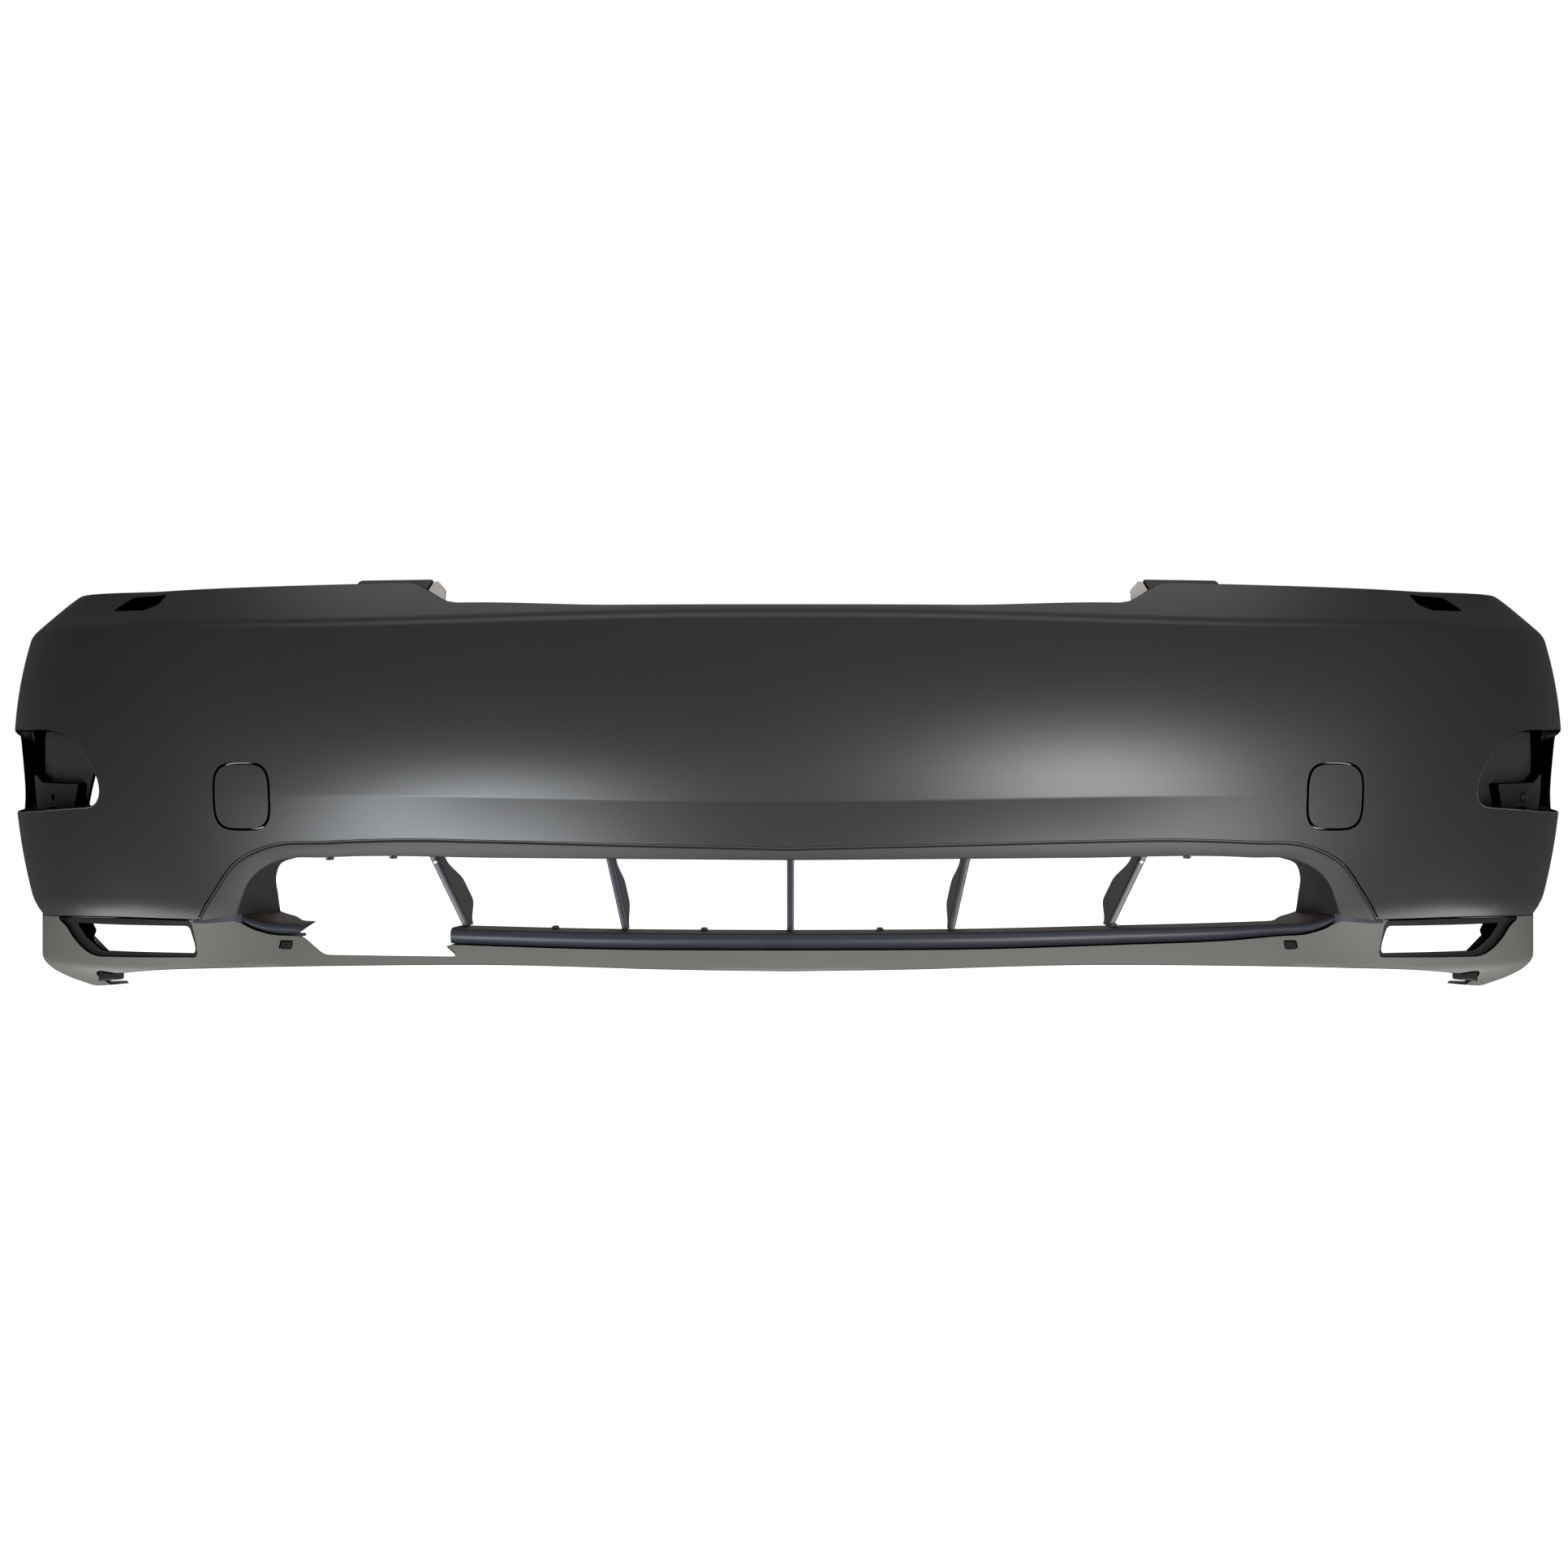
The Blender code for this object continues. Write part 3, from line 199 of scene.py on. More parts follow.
def shoulder(s):
    return SHOULDER_MIDDLE - SHOULDER_FALL * ease(0.05, 0.55, np.abs(s))


def crease(s):
    return CREASE_MIDDLE + CREASE_LIFT * ease(0, 0.45, np.abs(s))


def top_edge(s):
    a = np.abs(s)
    high = TOP_MIDDLE + TOP_STEP * (0.15 * ease(0.18, 0.34, a)
                                    + 0.85 * ease(STEP_START, STEP_END, a))
    high = high - 0.0045 * ease(0.42, 0.80, a)
    wing = shoulder(s) + 0.002 - 0.018 * ease(0.98, 1.34, a)
    return high + (wing - high) * ease(0.915, 1.015, a)


def setback(s, z):
    """How far the painted skin lies behind the bow."""
    a, z = np.abs(s), np.asarray(z, float)
    fold = crease(s)
    middle = 1 - ease(0.28, 0.62, a)
    low, full = np.maximum(BELT - z, 0), BELT - fold
    under = np.where(z >= fold, 1.5 * low**2, 1.5 * (full**2 + 2 * full * (fold - z)))
    under = under + 0.205 * ramp(fold - z, 0.0012) - 1.4 * np.maximum(fold - z, 0)**2
    side = 0.75 * low**2 + 10 * np.maximum(-0.124 - z, 0)**2
    over = 1.1 * np.maximum(z - BELT, 0)**2
    run = 1.5 - 0.75 * ease(0.74, 0.90, a)
    return over + middle * under + (1 - middle) * side + run * ramp(z - shoulder(s), 0.006)


def lip_setback(s, z):
    """How far the valance lies behind the bow."""
    a, z = np.abs(s), np.asarray(z, float)
    middle = 0.008 + 0.7 * np.maximum(z + 0.190, 0) + 6 * np.maximum(-0.186 - z, 0)**2
    corner = 0.0305 + 44 * np.maximum(-0.194 - z, 0)**2
    return middle + (corner - middle) * ease(0.50, 0.66, a)


def on_bow(s, z, back):
    s = np.asarray(s, float)
    a = np.abs(s)
    heading = np.interp(a, ARC, HEADING)
    x = np.interp(a, ARC, PLAN_X) - back * np.sin(heading)
    y = np.interp(a, ARC, PLAN_Y) + back * np.cos(heading)
    flat = np.stack([np.where(s < 0, -x, x), y, np.broadcast_to(z, s.shape)], axis=-1)
    return flat + DATUM


def sheet_of(profile, sunk=0.0):
    """A surface as points and outward normals, sunk below the face of the profile."""
    def surface(s, z):
        s, z = np.asarray(s, float), np.asarray(z, float)
        d = 2e-4
        point = on_bow(s, z, profile(s, z))
        along = on_bow(s + d, z, profile(s + d, z)) - on_bow(s - d, z, profile(s - d, z))
        up = on_bow(s, z + d, profile(s, z + d)) - on_bow(s, z - d, profile(s, z - d))
        normal = np.cross(along, up)
        normal /= np.linalg.norm(normal, axis=-1, keepdims=True)
        return point - sunk * normal, normal
    return surface


FACE = sheet_of(setback)
LIP = sheet_of(lip_setback)


# ---------------------------------------------------------------- loops on the skin
def resampled(line, spacing):
    line = np.asarray(line, float)
    run = np.concatenate([[0], np.cumsum(np.linalg.norm(np.diff(line, axis=0), axis=1))])
    at = np.linspace(0, run[-1], max(int(round(run[-1] / spacing)), 1) + 1)
    return np.stack([np.interp(at, run, line[:, k]) for k in (0, 1)], axis=1)


def mirrored(line):
    return np.asarray(line)[::-1] * (-1, 1)


def both_halves(half):
    return np.concatenate([mirrored(half)[:-1], half])


def chain(parts):
    """One closed loop from open lines laid end to end."""
    loop = [parts[0][0]]
    for line in parts:
        loop += [p for p in line if np.linalg.norm(p - loop[-1]) > 1e-5]
    if np.linalg.norm(np.subtract(loop[0], loop[-1])) < 1e-5:
        loop.pop()
    return np.array(loop)


def anticlockwise(loop):
    loop = np.asarray(loop, float)
    x, y = loop[:, 0], loop[:, 1]
    return loop if np.sum(x * np.roll(y, -1) - np.roll(x, -1) * y) > 0 else loop[::-1]


def arc_of(start, corner, end, steps):
    """Points of a rounded corner, with its two ends."""
    return [(1 - t)**2 * start + 2 * t * (1 - t) * corner + t * t * end
            for t in np.linspace(0, 1, steps)]


def softened(ring, radii, steps=3):
    """A closed ring of points with each corner rounded by its own radius."""
    ring = np.asarray(ring, float)
    out = []
    for p, q, r, radius in zip(np.roll(ring, 1, axis=0), ring, np.roll(ring, -1, axis=0), radii):
        la, lb = np.linalg.norm(p - q), np.linalg.norm(r - q)
        reach = min(radius, la * 0.45, lb * 0.45)
        out += arc_of(q + (p - q) / la * reach, q, q + (r - q) / lb * reach, steps)
    return np.array(out)


def rounded(corners, radius, steps=7):
    """A closed loop with all its corners rounded alike."""
    return softened(corners, [radius] * len(corners), steps)


def closed_resampled(loop, spacing):
    return resampled(np.concatenate([loop, loop[:1]]), spacing)[:-1]


def side_loop(loop, side):
    return anticlockwise(np.asarray(loop) * (side, 1))


def squircle(centre, width, height, steps=96, power=0.55):
    t = np.linspace(0, 2 * math.pi, steps, endpoint=False)
    c, d = np.cos(t), np.sin(t)
    return centre + np.stack([np.sign(c) * np.abs(c)**power * width / 2,
                              np.sign(d) * np.abs(d)**power * height / 2], axis=1)


def rectangle(low, high):
    return np.array([(low[0], low[1]), (high[0], low[1]), (high[0], high[1]), (low[0], high[1])])


def soft_loop(outline, side, radius, spacing=0.003):
    """An outline put on one side, with rounded corners and evenly spaced points."""
    return closed_resampled(rounded(side_loop(outline, side), radius), spacing)


def grid(side, stations, levels):
    """Inner points of a piece from (start, end, step) along the bow and upwards."""
    return [(side * s, z) for s in np.arange(*stations) for z in np.arange(*levels)]


def grown(loop, by):
    loop = anticlockwise(loop)
    t = np.roll(loop, -1, axis=0) - np.roll(loop, 1, axis=0)
    t /= np.linalg.norm(t, axis=1, keepdims=True)
    return loop + by * np.stack([t[:, 1], -t[:, 0]], axis=1)


def in_batches(work, points, batch=1500):
    return np.concatenate([work(points[k:k + batch]) for k in range(0, len(points), batch)]
                          or [np.zeros(0)])


def inside(loop, points):
    ax, ay = loop[:, 0], loop[:, 1]
    bx, by = np.roll(ax, -1), np.roll(ay, -1)

    def work(p):
        x, y = p[:, 0][:, None], p[:, 1][:, None]
        cross = (ay > y) != (by > y)
        with np.errstate(divide="ignore", invalid="ignore"):
            at = (bx - ax) * (y - ay) / (by - ay) + ax
        return (np.sum(cross & (x < at), axis=1) % 2) == 1
    return in_batches(work, points).astype(bool)


def clearance(loop, points):
    a, b = loop, np.roll(loop, -1, axis=0)
    d = b - a
    size = np.maximum((d * d).sum(1), 1e-12)

    def work(p):
        w = p[:, None] - a
        t = np.clip((w * d).sum(2) / size, 0, 1)
        return np.sqrt(((w - t[..., None] * d)**2).sum(2).min(axis=1))
    return in_batches(work, points)


def close_to(loop, s, z, reach):
    return clearance(loop, np.stack([s, z], axis=1)) < reach


def flange(depth, plain=None):
    """A rim of one depth all round; plain(s, z) is true where the edge has none."""
    def rim(s, z, normal, inward):
        reach = -depth * normal
        return reach if plain is None else np.where(plain(s, z)[:, None], 0, reach)
    return rim


# ---------------------------------------------------------------- meshes
def mesh_object(name, points, faces, material, normals=None, sharp=None, values=None):
    """A finished piece; values are numbers kept at its points for the materials."""
    mesh = bpy.data.meshes.new(name)
    mesh.from_pydata([tuple(p) for p in np.asarray(points, float)], [],
                     [tuple(int(i) for i in f) for f in faces])
    mesh.materials.append(material)
    mesh.shade_smooth()
    for key, value in (values or {}).items():
        layer = mesh.attributes.new(key, "FLOAT", "POINT")
        layer.data.foreach_set("value", np.asarray(value, np.float32))
    if normals is not None:
        mesh.normals_split_custom_set_from_vertices([tuple(n) for n in normals])
    elif sharp is not None:
        mesh.set_sharp_from_angle(angle=math.radians(sharp))
    obj = bpy.data.objects.new(name, mesh)
    bpy.context.scene.collection.objects.link(obj)
    return obj


def place(obj, body, slot, *nodes):
    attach(obj, body)
    if nodes:
        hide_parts(*nodes)
    return obj


def triangulated(loops, seeds, margin):
    """Triangles of the region inside the first loop and outside the others."""
    if len(seeds):
        keep = inside(loops[0], seeds)
        for hole in loops[1:]:
            keep &= ~inside(hole, seeds)
        seeds = seeds[keep]
        for loop in loops:
            seeds = seeds[clearance(loop, seeds) > margin]
    points, edges = [], []
    for loop in loops:
        base = len(points)
        points += [tuple(p) for p in loop]
        edges += [(base + i, base + (i + 1) % len(loop)) for i in range(len(loop))]
    points += [tuple(p) for p in seeds]
    made = delaunay_2d_cdt([Vector(p) for p in points], edges, [], 0, 1e-7)
    flat = np.array([tuple(v) for v in made[0]])
    faces = np.array([tuple(f) for f in made[2]])
    middle = flat[faces].mean(axis=1)
    keep = inside(loops[0], middle)
    for hole in loops[1:]:
        keep &= ~inside(hole, middle)
    faces = faces[keep]
    a, b, c = flat[faces[:, 0]], flat[faces[:, 1]], flat[faces[:, 2]]
    area = (b[:, 0] - a[:, 0]) * (c[:, 1] - a[:, 1]) - (b[:, 1] - a[:, 1]) * (c[:, 0] - a[:, 0])
    faces[area < 0] = faces[area < 0][:, ::-1]
    faces = faces[np.abs(area) > 1e-11]
    used = np.unique(faces)
    index = np.full(len(flat), -1)
    index[used] = np.arange(len(used))
    return flat[used], index[faces]


def unit(v):
    return v / np.maximum(np.linalg.norm(v, axis=-1, keepdims=True), 1e-12)


def moulding(name, surface, loops, material, wall, seeds=(), margin=0.0055, rim=None, flip=False,
             radius=0.0009, bare_and_highlight=None):
    """A moulded sheet: its face, its back one wall behind, and a rounded edge or flange all round.

    rim takes the station, level, normal and inward direction of the edge points and returns
    how far each flange reaches, as a vector; where that's zero the edge is plain.
    """
    seeds = np.asarray(seeds, float).reshape(-1, 2)
    flat, faces = triangulated(loops, seeds, margin)
    face, normal = surface(flat[:, 0], flat[:, 1])
    if flip:
        normal, faces = -normal, faces[:, ::-1]
    back = face - wall * normal
    count = len(flat)
    ahead = set()
    for a, b, c in faces.tolist():
        ahead.update(((a, b), (b, c), (c, a)))
    edge = [(a, b) for a, b in ahead if (b, a) not in ahead]
    follow = dict(edge)
    before = {b: a for a, b in edge}
    ids = sorted(follow)
    go = unit(np.array([face[follow[i]] - face[i] for i in ids]))
    come = unit(np.array([face[i] - face[before[i]] for i in ids]))
    tangent = unit(go + come)
    n = normal[ids]
    inward = unit(np.cross(n, tangent))
    miter = (1 / np.clip(np.einsum("ij,ij->i", tangent, go), 0.7, 1))[:, None]
    # Marked edges are blunter and take a pale colour: partly an unpainted edge, partly a painted
    # highlight for the light they catch.
    marked = np.zeros(len(ids), bool)
    if bare_and_highlight is not None:
        marked = bare_and_highlight(flat[ids, 0], flat[ids, 1])
        radius = np.where(marked, BLUNT * radius, radius)[:, None]
    reach = np.zeros((len(ids), 3))
    if rim is not None:
        reach = rim(flat[ids, 0], flat[ids, 1], n, inward)
    length = np.linalg.norm(reach, axis=1)
    flanged = (length > 1e-6)[:, None]
    way = np.where(flanged, unit(reach), -n)
    depth = np.where(flanged, length[:, None], wall)
    over = unit(inward - np.einsum("ij,ij->i", inward, way)[:, None] * way)
    thick = np.where(flanged, wall, radius)
    corner = face[ids].copy()
    start = corner + inward * radius * miter
    tip = corner + way * depth
    shift = np.where(flanged, wall, 2 * radius)
    rows = arc_of(start, corner, corner + way * radius, 4)
    rows += arc_of(tip - way * radius, tip, tip + over * radius * 0.99, 3)[:-1]
    far = tip + over * thick * miter
    rows += [np.where(flanged, tip + over * radius, tip + over * radius * 0.995),
             np.where(flanged, far - over * radius, tip + over * radius * 1.2),
             np.where(flanged, far - way * radius, tip + over * radius * 1.4)]
    end = back[ids] + inward * shift * miter
    face[ids], back[ids] = start, end
    rows.append(end)
    k = len(ids)
    points = np.concatenate([face, back] + rows[1:-1])
    place_of = {v: i for i, v in enumerate(ids)}
    chain_ids = [np.array(ids)] + [2 * count + r * k + np.arange(k) for r in range(len(rows) - 2)]
    chain_ids.append(np.array(ids) + count)
    normals = np.zeros_like(points)
    normals[:count], normals[count:2 * count] = normal, -normal
    for r in range(1, len(rows) - 1):
        along = unit(rows[r + 1] - rows[r - 1])
        normals[chain_ids[r]] = unit(np.cross(along, tangent)) * -1
    side = np.zeros(len(points))
    side[count:2 * count] = 2
    side[2 * count:] = 1
    shows = np.zeros(len(points))
    for r in range(1, len(rows) - 1):
        shows[chain_ids[r]] = marked
    out = [tuple(f) for f in faces] + [tuple(f[::-1] + count) for f in faces]
    for a, b in edge:
        i, j = place_of[a], place_of[b]
        for low, high in zip(chain_ids, chain_ids[1:]):
            out.append((low[j], low[i], high[i], high[j]))
    return mesh_object(name, points, out, material, normals,
                       values={"side": side, "bare_and_highlight": shows})


def loft(name, rings, material, sharp=32, values=None):
    """Joins closed rings of equal length, with a cap at each end."""
    count = len(rings[0])
    faces = []
    for r in range(len(rings) - 1):
        for i in range(count):
            j = (i + 1) % count
            faces.append((r * count + i, r * count + j, (r + 1) * count + j, (r + 1) * count + i))
    faces.append(tuple(range(count))[::-1])
    faces.append(tuple(range((len(rings) - 1) * count, len(rings) * count)))
    points = np.concatenate(rings)
    volume = sum(np.dot(points[f[0]], np.cross(points[f[i]], points[f[i + 1]]))
                 for f in faces for i in range(1, len(f) - 1))
    if volume < 0:
        faces = [f[::-1] for f in faces]
    return mesh_object(name, points, faces, material, sharp=sharp, values=values)


def turned(axis_point, axis, profile, steps=40):
    """Rings of a solid of revolution from (distance along the axis, radius) pairs."""
    axis = unit(np.asarray(axis, float))
    u = unit(np.cross(axis, (0, 0, 1) if abs(axis[2]) < 0.9 else (1, 0, 0)))
    v = np.cross(axis, u)
    angle = np.linspace(0, 2 * math.pi, steps, endpoint=False)
    circle = np.outer(np.cos(angle), u) + np.outer(np.sin(angle), v)
    return [axis_point + along * axis + radius * circle for along, radius in profile]


# ---------------------------------------------------------------- node trees
def math_node(operation, swapped=False):
    """A method that adds a Math node for one operation."""
    def work(self, other):
        values = (other, self) if swapped else (self, other)
        return self.tree.node("ShaderNodeMath", {"operation": operation},
                              dict(enumerate(values)))
    return work


class Wire:
    """A socket that takes part in Python arithmetic by adding Math nodes."""

    def __init__(self, tree, socket):
        self.tree, self.socket = tree, socket

    __add__ = __radd__ = math_node("ADD")
    __mul__ = __rmul__ = math_node("MULTIPLY")
    __sub__, __rsub__ = math_node("SUBTRACT"), math_node("SUBTRACT", swapped=True)
    __pow__, most = math_node("POWER"), math_node("MAXIMUM")


class Tree:
    def __init__(self, tree):
        self.tree = tree

    def node(self, kind, settings=None, sockets=None, out=0):
        made = self.tree.nodes.new(kind)
        for key, value in (settings or {}).items():
            setattr(made, key, value)
        for key, value in (sockets or {}).items():
            if isinstance(value, Wire):
                self.tree.links.new(value.socket, made.inputs[key])
            else:
                made.inputs[key].default_value = value
        return Wire(self, made.outputs[out])


class Finish(Tree):
    """A material under construction."""

    def __init__(self, name, roughness=0.5, **fixed):
        self.material = bpy.data.materials.new(name)
        self.material.use_nodes = True
        super().__init__(self.material.node_tree)
        self.shader = self.tree.nodes["Principled BSDF"]
        self.shader.inputs["Roughness"].default_value = roughness
        for key, value in fixed.items():
            self.shader.inputs[key.replace("_", " ")].default_value = value
        self.where = self.node("ShaderNodeTexCoord", out="Object")

    def noise(self, scale, detail=2.0, roughness=0.5, distortion=0.0):
        return self.node("ShaderNodeTexNoise", {}, {
            "Vector": self.where, "Scale": scale, "Detail": detail, "Roughness": roughness,
            "Distortion": distortion}, out="Fac")

    def cells(self, scale):
        return self.node("ShaderNodeTexVoronoi", {}, {"Vector": self.where, "Scale": scale},
                         out="Distance")

    def kept(self, name):
        """A number kept at the points of the piece."""
        return self.node("ShaderNodeAttribute", {"attribute_name": name}, out="Fac")

    def between(self, value, low, high):
        return self.node("ShaderNodeMapRange", {"interpolation_type": "SMOOTHSTEP"}, {
            "Value": value, "From Min": low, "From Max": high, "To Min": 0.0, "To Max": 1.0})

    def mix(self, factor, a, b):
        """Colour a turning into colour b."""
        made = self.tree.nodes.new("ShaderNodeMix")
        made.data_type = "RGBA"
        for socket, value in ((0, factor), (6, a), (7, b)):
            if isinstance(value, Wire):
                self.tree.links.new(value.socket, made.inputs[socket])
            else:
                made.inputs[socket].default_value = (*value, 1) if len(value) == 3 else value
        return Wire(self, made.outputs[2])

    def drive(self, **sockets):
        for key, value in sockets.items():
            self.tree.links.new(value.socket, self.shader.inputs[key.replace("_", " ")])
        return self

    def bump(self, height, distance, strength=1.0):
        raised = self.node("ShaderNodeBump", {}, {"Strength": strength, "Distance": distance,
                                                  "Height": height})
        return self.drive(Normal=raised)


class Shape(Tree):
    """A geometry tree under construction; its sizes are named inputs."""

    def __init__(self, name, **sizes):
        super().__init__(bpy.data.node_groups.new(name, "GeometryNodeTree"))
        sockets = self.tree.interface
        sockets.new_socket("Geometry", in_out="INPUT", socket_type="NodeSocketGeometry")
        sockets.new_socket("Geometry", in_out="OUTPUT", socket_type="NodeSocketGeometry")
        self.ids = {key: sockets.new_socket(key, in_out="INPUT",
                                            socket_type="NodeSocketFloat").identifier
                    for key in sizes}
        self.sizes = sizes
        start = self.tree.nodes.new("NodeGroupInput")
        self.places = Wire(self, start.outputs[0])
        self.size = {key: Wire(self, start.outputs[key]) for key in sizes}

    def point(self, x=0.0, y=0.0, z=0.0):
        return self.node("ShaderNodeCombineXYZ", {}, {"X": x, "Y": y, "Z": z})

    def line(self, start, end):
        return self.node("GeometryNodeCurvePrimitiveLine", {}, {
            "Start": self.point(*start), "End": self.point(*end)})

    def swept(self, path, profile):
        return self.node("GeometryNodeCurveToMesh", {}, {
            "Curve": path, "Profile Curve": profile, "Fill Caps": True})

    def bar(self, width, height, radius, start, end):
        """A bar with rounded corners, from one point to another."""
        outline = self.node("GeometryNodeCurvePrimitiveQuadrilateral", {"mode": "RECTANGLE"},
                            {"Width": width, "Height": height})
        outline = self.node("GeometryNodeFilletCurve", {"mode": "POLY"}, {
            "Curve": outline, "Count": 4, "Radius": radius, "Limit Radius": True})
        return self.swept(self.line(start, end), outline)

    def dome(self, radius, start, end, steps=12):
        """A round head from its flat foot to its crown."""
        path = self.node("GeometryNodeResampleCurve", {}, {
            "Curve": self.line(start, end), "Count": steps})
        along = self.node("GeometryNodeSplineParameter", out="Factor")
        round_off = (1 - along ** 3.0).most(0.02) ** 0.5
        path = self.node("GeometryNodeSetCurveRadius", {}, {"Curve": path, "Radius": round_off})
        ring = self.node("GeometryNodeCurvePrimitiveCircle", {"mode": "RADIUS"},
                         {"Resolution": 28, "Radius": radius})
        made = self.tree.nodes.new("GeometryNodeCurveToMesh")
        for key, value in (("Curve", path), ("Profile Curve", ring)):
            self.tree.links.new(value.socket, made.inputs[key])
        made.inputs["Fill Caps"].default_value = True
        if "Scale" in made.inputs:
            self.tree.links.new(round_off.socket, made.inputs["Scale"])
        return Wire(self, made.outputs[0])

    def joined(self, *parts):
        made = self.tree.nodes.new("GeometryNodeJoinGeometry")
        for part in parts:
            self.tree.links.new(part.socket, made.inputs[0])
        return Wire(self, made.outputs[0])

    def on_places(self, part, material):
        """Ends the tree: the part at every point, as one real mesh."""
        copies = self.node("GeometryNodeInstanceOnPoints", {},
                           {"Points": self.places, "Instance": part})
        real = self.node("GeometryNodeRealizeInstances", {}, {"Geometry": copies})
        last = self.node("GeometryNodeSetMaterial", {}, {"Geometry": real, "Material": material})
        end = self.tree.nodes.new("NodeGroupOutput")
        self.tree.links.new(last.socket, end.inputs[0])
        return self

    def built(self, name, points, sharp=35):
        """The tree run on loose points, as a plain object."""
        seed = bpy.data.meshes.new(name)
        seed.from_pydata([tuple(p) for p in points], [], [])
        obj = bpy.data.objects.new(name, seed)
        bpy.context.scene.collection.objects.link(obj)
        run = obj.modifiers.new("build", "NODES")
        run.node_group = self.tree
        for key, value in self.sizes.items():
            run[self.ids[key]] = value
        ready = obj.evaluated_get(bpy.context.evaluated_depsgraph_get())
        mesh = bpy.data.meshes.new_from_object(ready)
        obj.modifiers.clear()
        obj.data = mesh
        mesh.shade_smooth()
        mesh.set_sharp_from_angle(angle=math.radians(sharp))
        return obj


def primer(name, colour, bare_and_highlight_colour, inner_colour):
    f = Finish(name, 0.42, Specular_IOR_Level=0.5)
    cloud = f.noise(2.4, 4.0, 0.55)
    peel = f.noise(210, 2.0, 0.5)
    grain = f.noise(1500, 3.0, 0.6)
    specks = f.between(f.cells(420), 0.10, 0.03)
    side, bare_and_highlight = f.kept("side"), f.kept("bare_and_highlight")
    inner = f.between(side, 1.2, 1.8)
    tone = f.mix(cloud, [c * 0.93 for c in colour], [c * 1.08 for c in colour])
    tone = f.mix(specks * 0.10, tone, [c * 3.0 for c in colour])
    worn = f.between(side, 0.05, 0.9) * (1 - inner)
    tone = f.mix(worn * 0.35, tone, [c * 1.5 for c in colour])
    # Pale colour on the marked edges: partly an unpainted edge, partly a painted highlight for the
    # light these returns catch.
    tone = f.mix(f.between(bare_and_highlight, 0.2, 0.9) * (0.8 + 0.4 * peel), tone, bare_and_highlight_colour)
    tone = f.mix(inner, tone, inner_colour)
    f.drive(Base_Color=tone,
            Roughness=0.315 + cloud * 0.05 + grain * 0.05 + worn * 0.08 + inner * 0.12)
    f.bump(peel * 0.55 + grain * 0.45, 0.00006, 0.6)
    return f.material


def grained(name, colour, roughness=0.52, scale=1100, depth=0.00012, light=1.35, spec=0.5):
    """Moulded plastic with a fine leather-like grain."""
    f = Finish(name, roughness, Specular_IOR_Level=spec)
    cloud = f.noise(5.5, 4.0, 0.6)
    cells = f.cells(scale)
    fine = f.noise(scale * 1.7, 3.0, 0.6)
    scuff = f.between(f.noise(38, 6.0, 0.7, 1.2), 0.60, 0.72)
    side = f.between(f.kept("side"), 0.1, 0.9)
    tone = f.mix(cloud, [c * 0.90 for c in colour], [c * 1.12 for c in colour])
    tone = f.mix(fine * 0.35, tone, [c * light for c in colour])
    tone = f.mix(scuff * 0.22, tone, [c * 1.5 for c in colour])
    tone = f.mix(side * 0.15, tone, [c * 1.6 for c in colour])
    f.drive(Base_Color=tone, Roughness=roughness - 0.05 + cells * 0.12 + scuff * 0.08)
    f.bump(cells * 0.7 + fine * 0.3, depth, 0.7)
    return f.material


def smooth_plastic(name, colour, roughness=0.3, dust=(0.16, 0.15, 0.14), plate=None, top=None):
    """Smooth moulded plastic with faint dust and fine scratches."""
    f = Finish(name, roughness, Specular_IOR_Level=0.5)
    cloud = f.noise(14, 4.0, 0.6)
    fine = f.noise(900, 2.0, 0.5)
    scratch = f.between(f.noise(60, 8.0, 0.75, 2.5), 0.62, 0.70)
    tone = f.mix(cloud, [c * 0.85 for c in colour], [c * 1.2 for c in colour])
    tone = f.mix(scratch * 0.12 + fine * 0.03, tone, dust)
    if plate is not None:
        tone = f.mix(f.between(f.kept("plate"), 0.3, 0.7), tone, plate)
    # Faces that look straight up take the top colour: a painted highlight on the lit upper faces.
    if top is not None:
        facing = f.node("ShaderNodeTexCoord", out="Normal")
        rise = f.node("ShaderNodeSeparateXYZ", {}, {"Vector": facing}, out="Z")
        tone = f.mix(f.between(rise, 0.90, 0.98), tone, top)
    f.drive(Base_Color=tone, Roughness=roughness - 0.04 + cloud * 0.1 + scratch * 0.12)
    f.bump(fine, 0.00004, 0.5)
    return f.material


def plated(name):
    f = Finish(name, 0.32, Metallic=1.0)
    fine = f.noise(1600, 3.0)
    stain = f.noise(160, 4.0, 0.65)
    f.drive(Base_Color=f.mix(stain, (0.42, 0.42, 0.41), (0.66, 0.65, 0.62)),
            Roughness=0.22 + 0.25 * stain)
    f.bump(fine, 0.00003, 0.5)
    return f.material


# The pale edge colour given here is partly an unpainted edge, partly a painted highlight.
PRIMER = primer("satin_primer", (0.021, 0.0205, 0.0225), (0.50, 0.45, 0.38),
                (0.020, 0.020, 0.021))
# Surround and valance are drawn as one grey grained plastic in two tones: the lighter valance
# colour is partly painted light from above, the darker surround colour partly painted shade.
SURROUND_GREY = grained("surround_grain", (0.027, 0.027, 0.0245), 0.50)
VALANCE_GREY = grained("valance_grain", (0.138, 0.134, 0.123), 0.52)
# The rail's brown top colour is painted light on its lit upper faces.
RAIL_BLACK = smooth_plastic("rail_black", (0.017, 0.019, 0.030), 0.46, top=(0.060, 0.028, 0.018))
RIB_BLACK = smooth_plastic("rib_black", (0.010, 0.013, 0.024), 0.36, plate=(0.052, 0.046, 0.041))
BLACK = grained("black_grain", (0.012, 0.012, 0.013), 0.5, light=1.6)
BRACKET = grained("bracket_grain", (0.028, 0.026, 0.027), 0.5)
# The plate is a pale moulding; its colour is made lighter still as painted light, standing in for
# light the lamps do not bring to it.
PALE = grained("pale_moulding", (0.80, 0.765, 0.72), 0.6, light=1.04)
CLIP = smooth_plastic("clip_black", (0.006, 0.006, 0.0065), 0.5)
STEEL = plated("plated_steel")


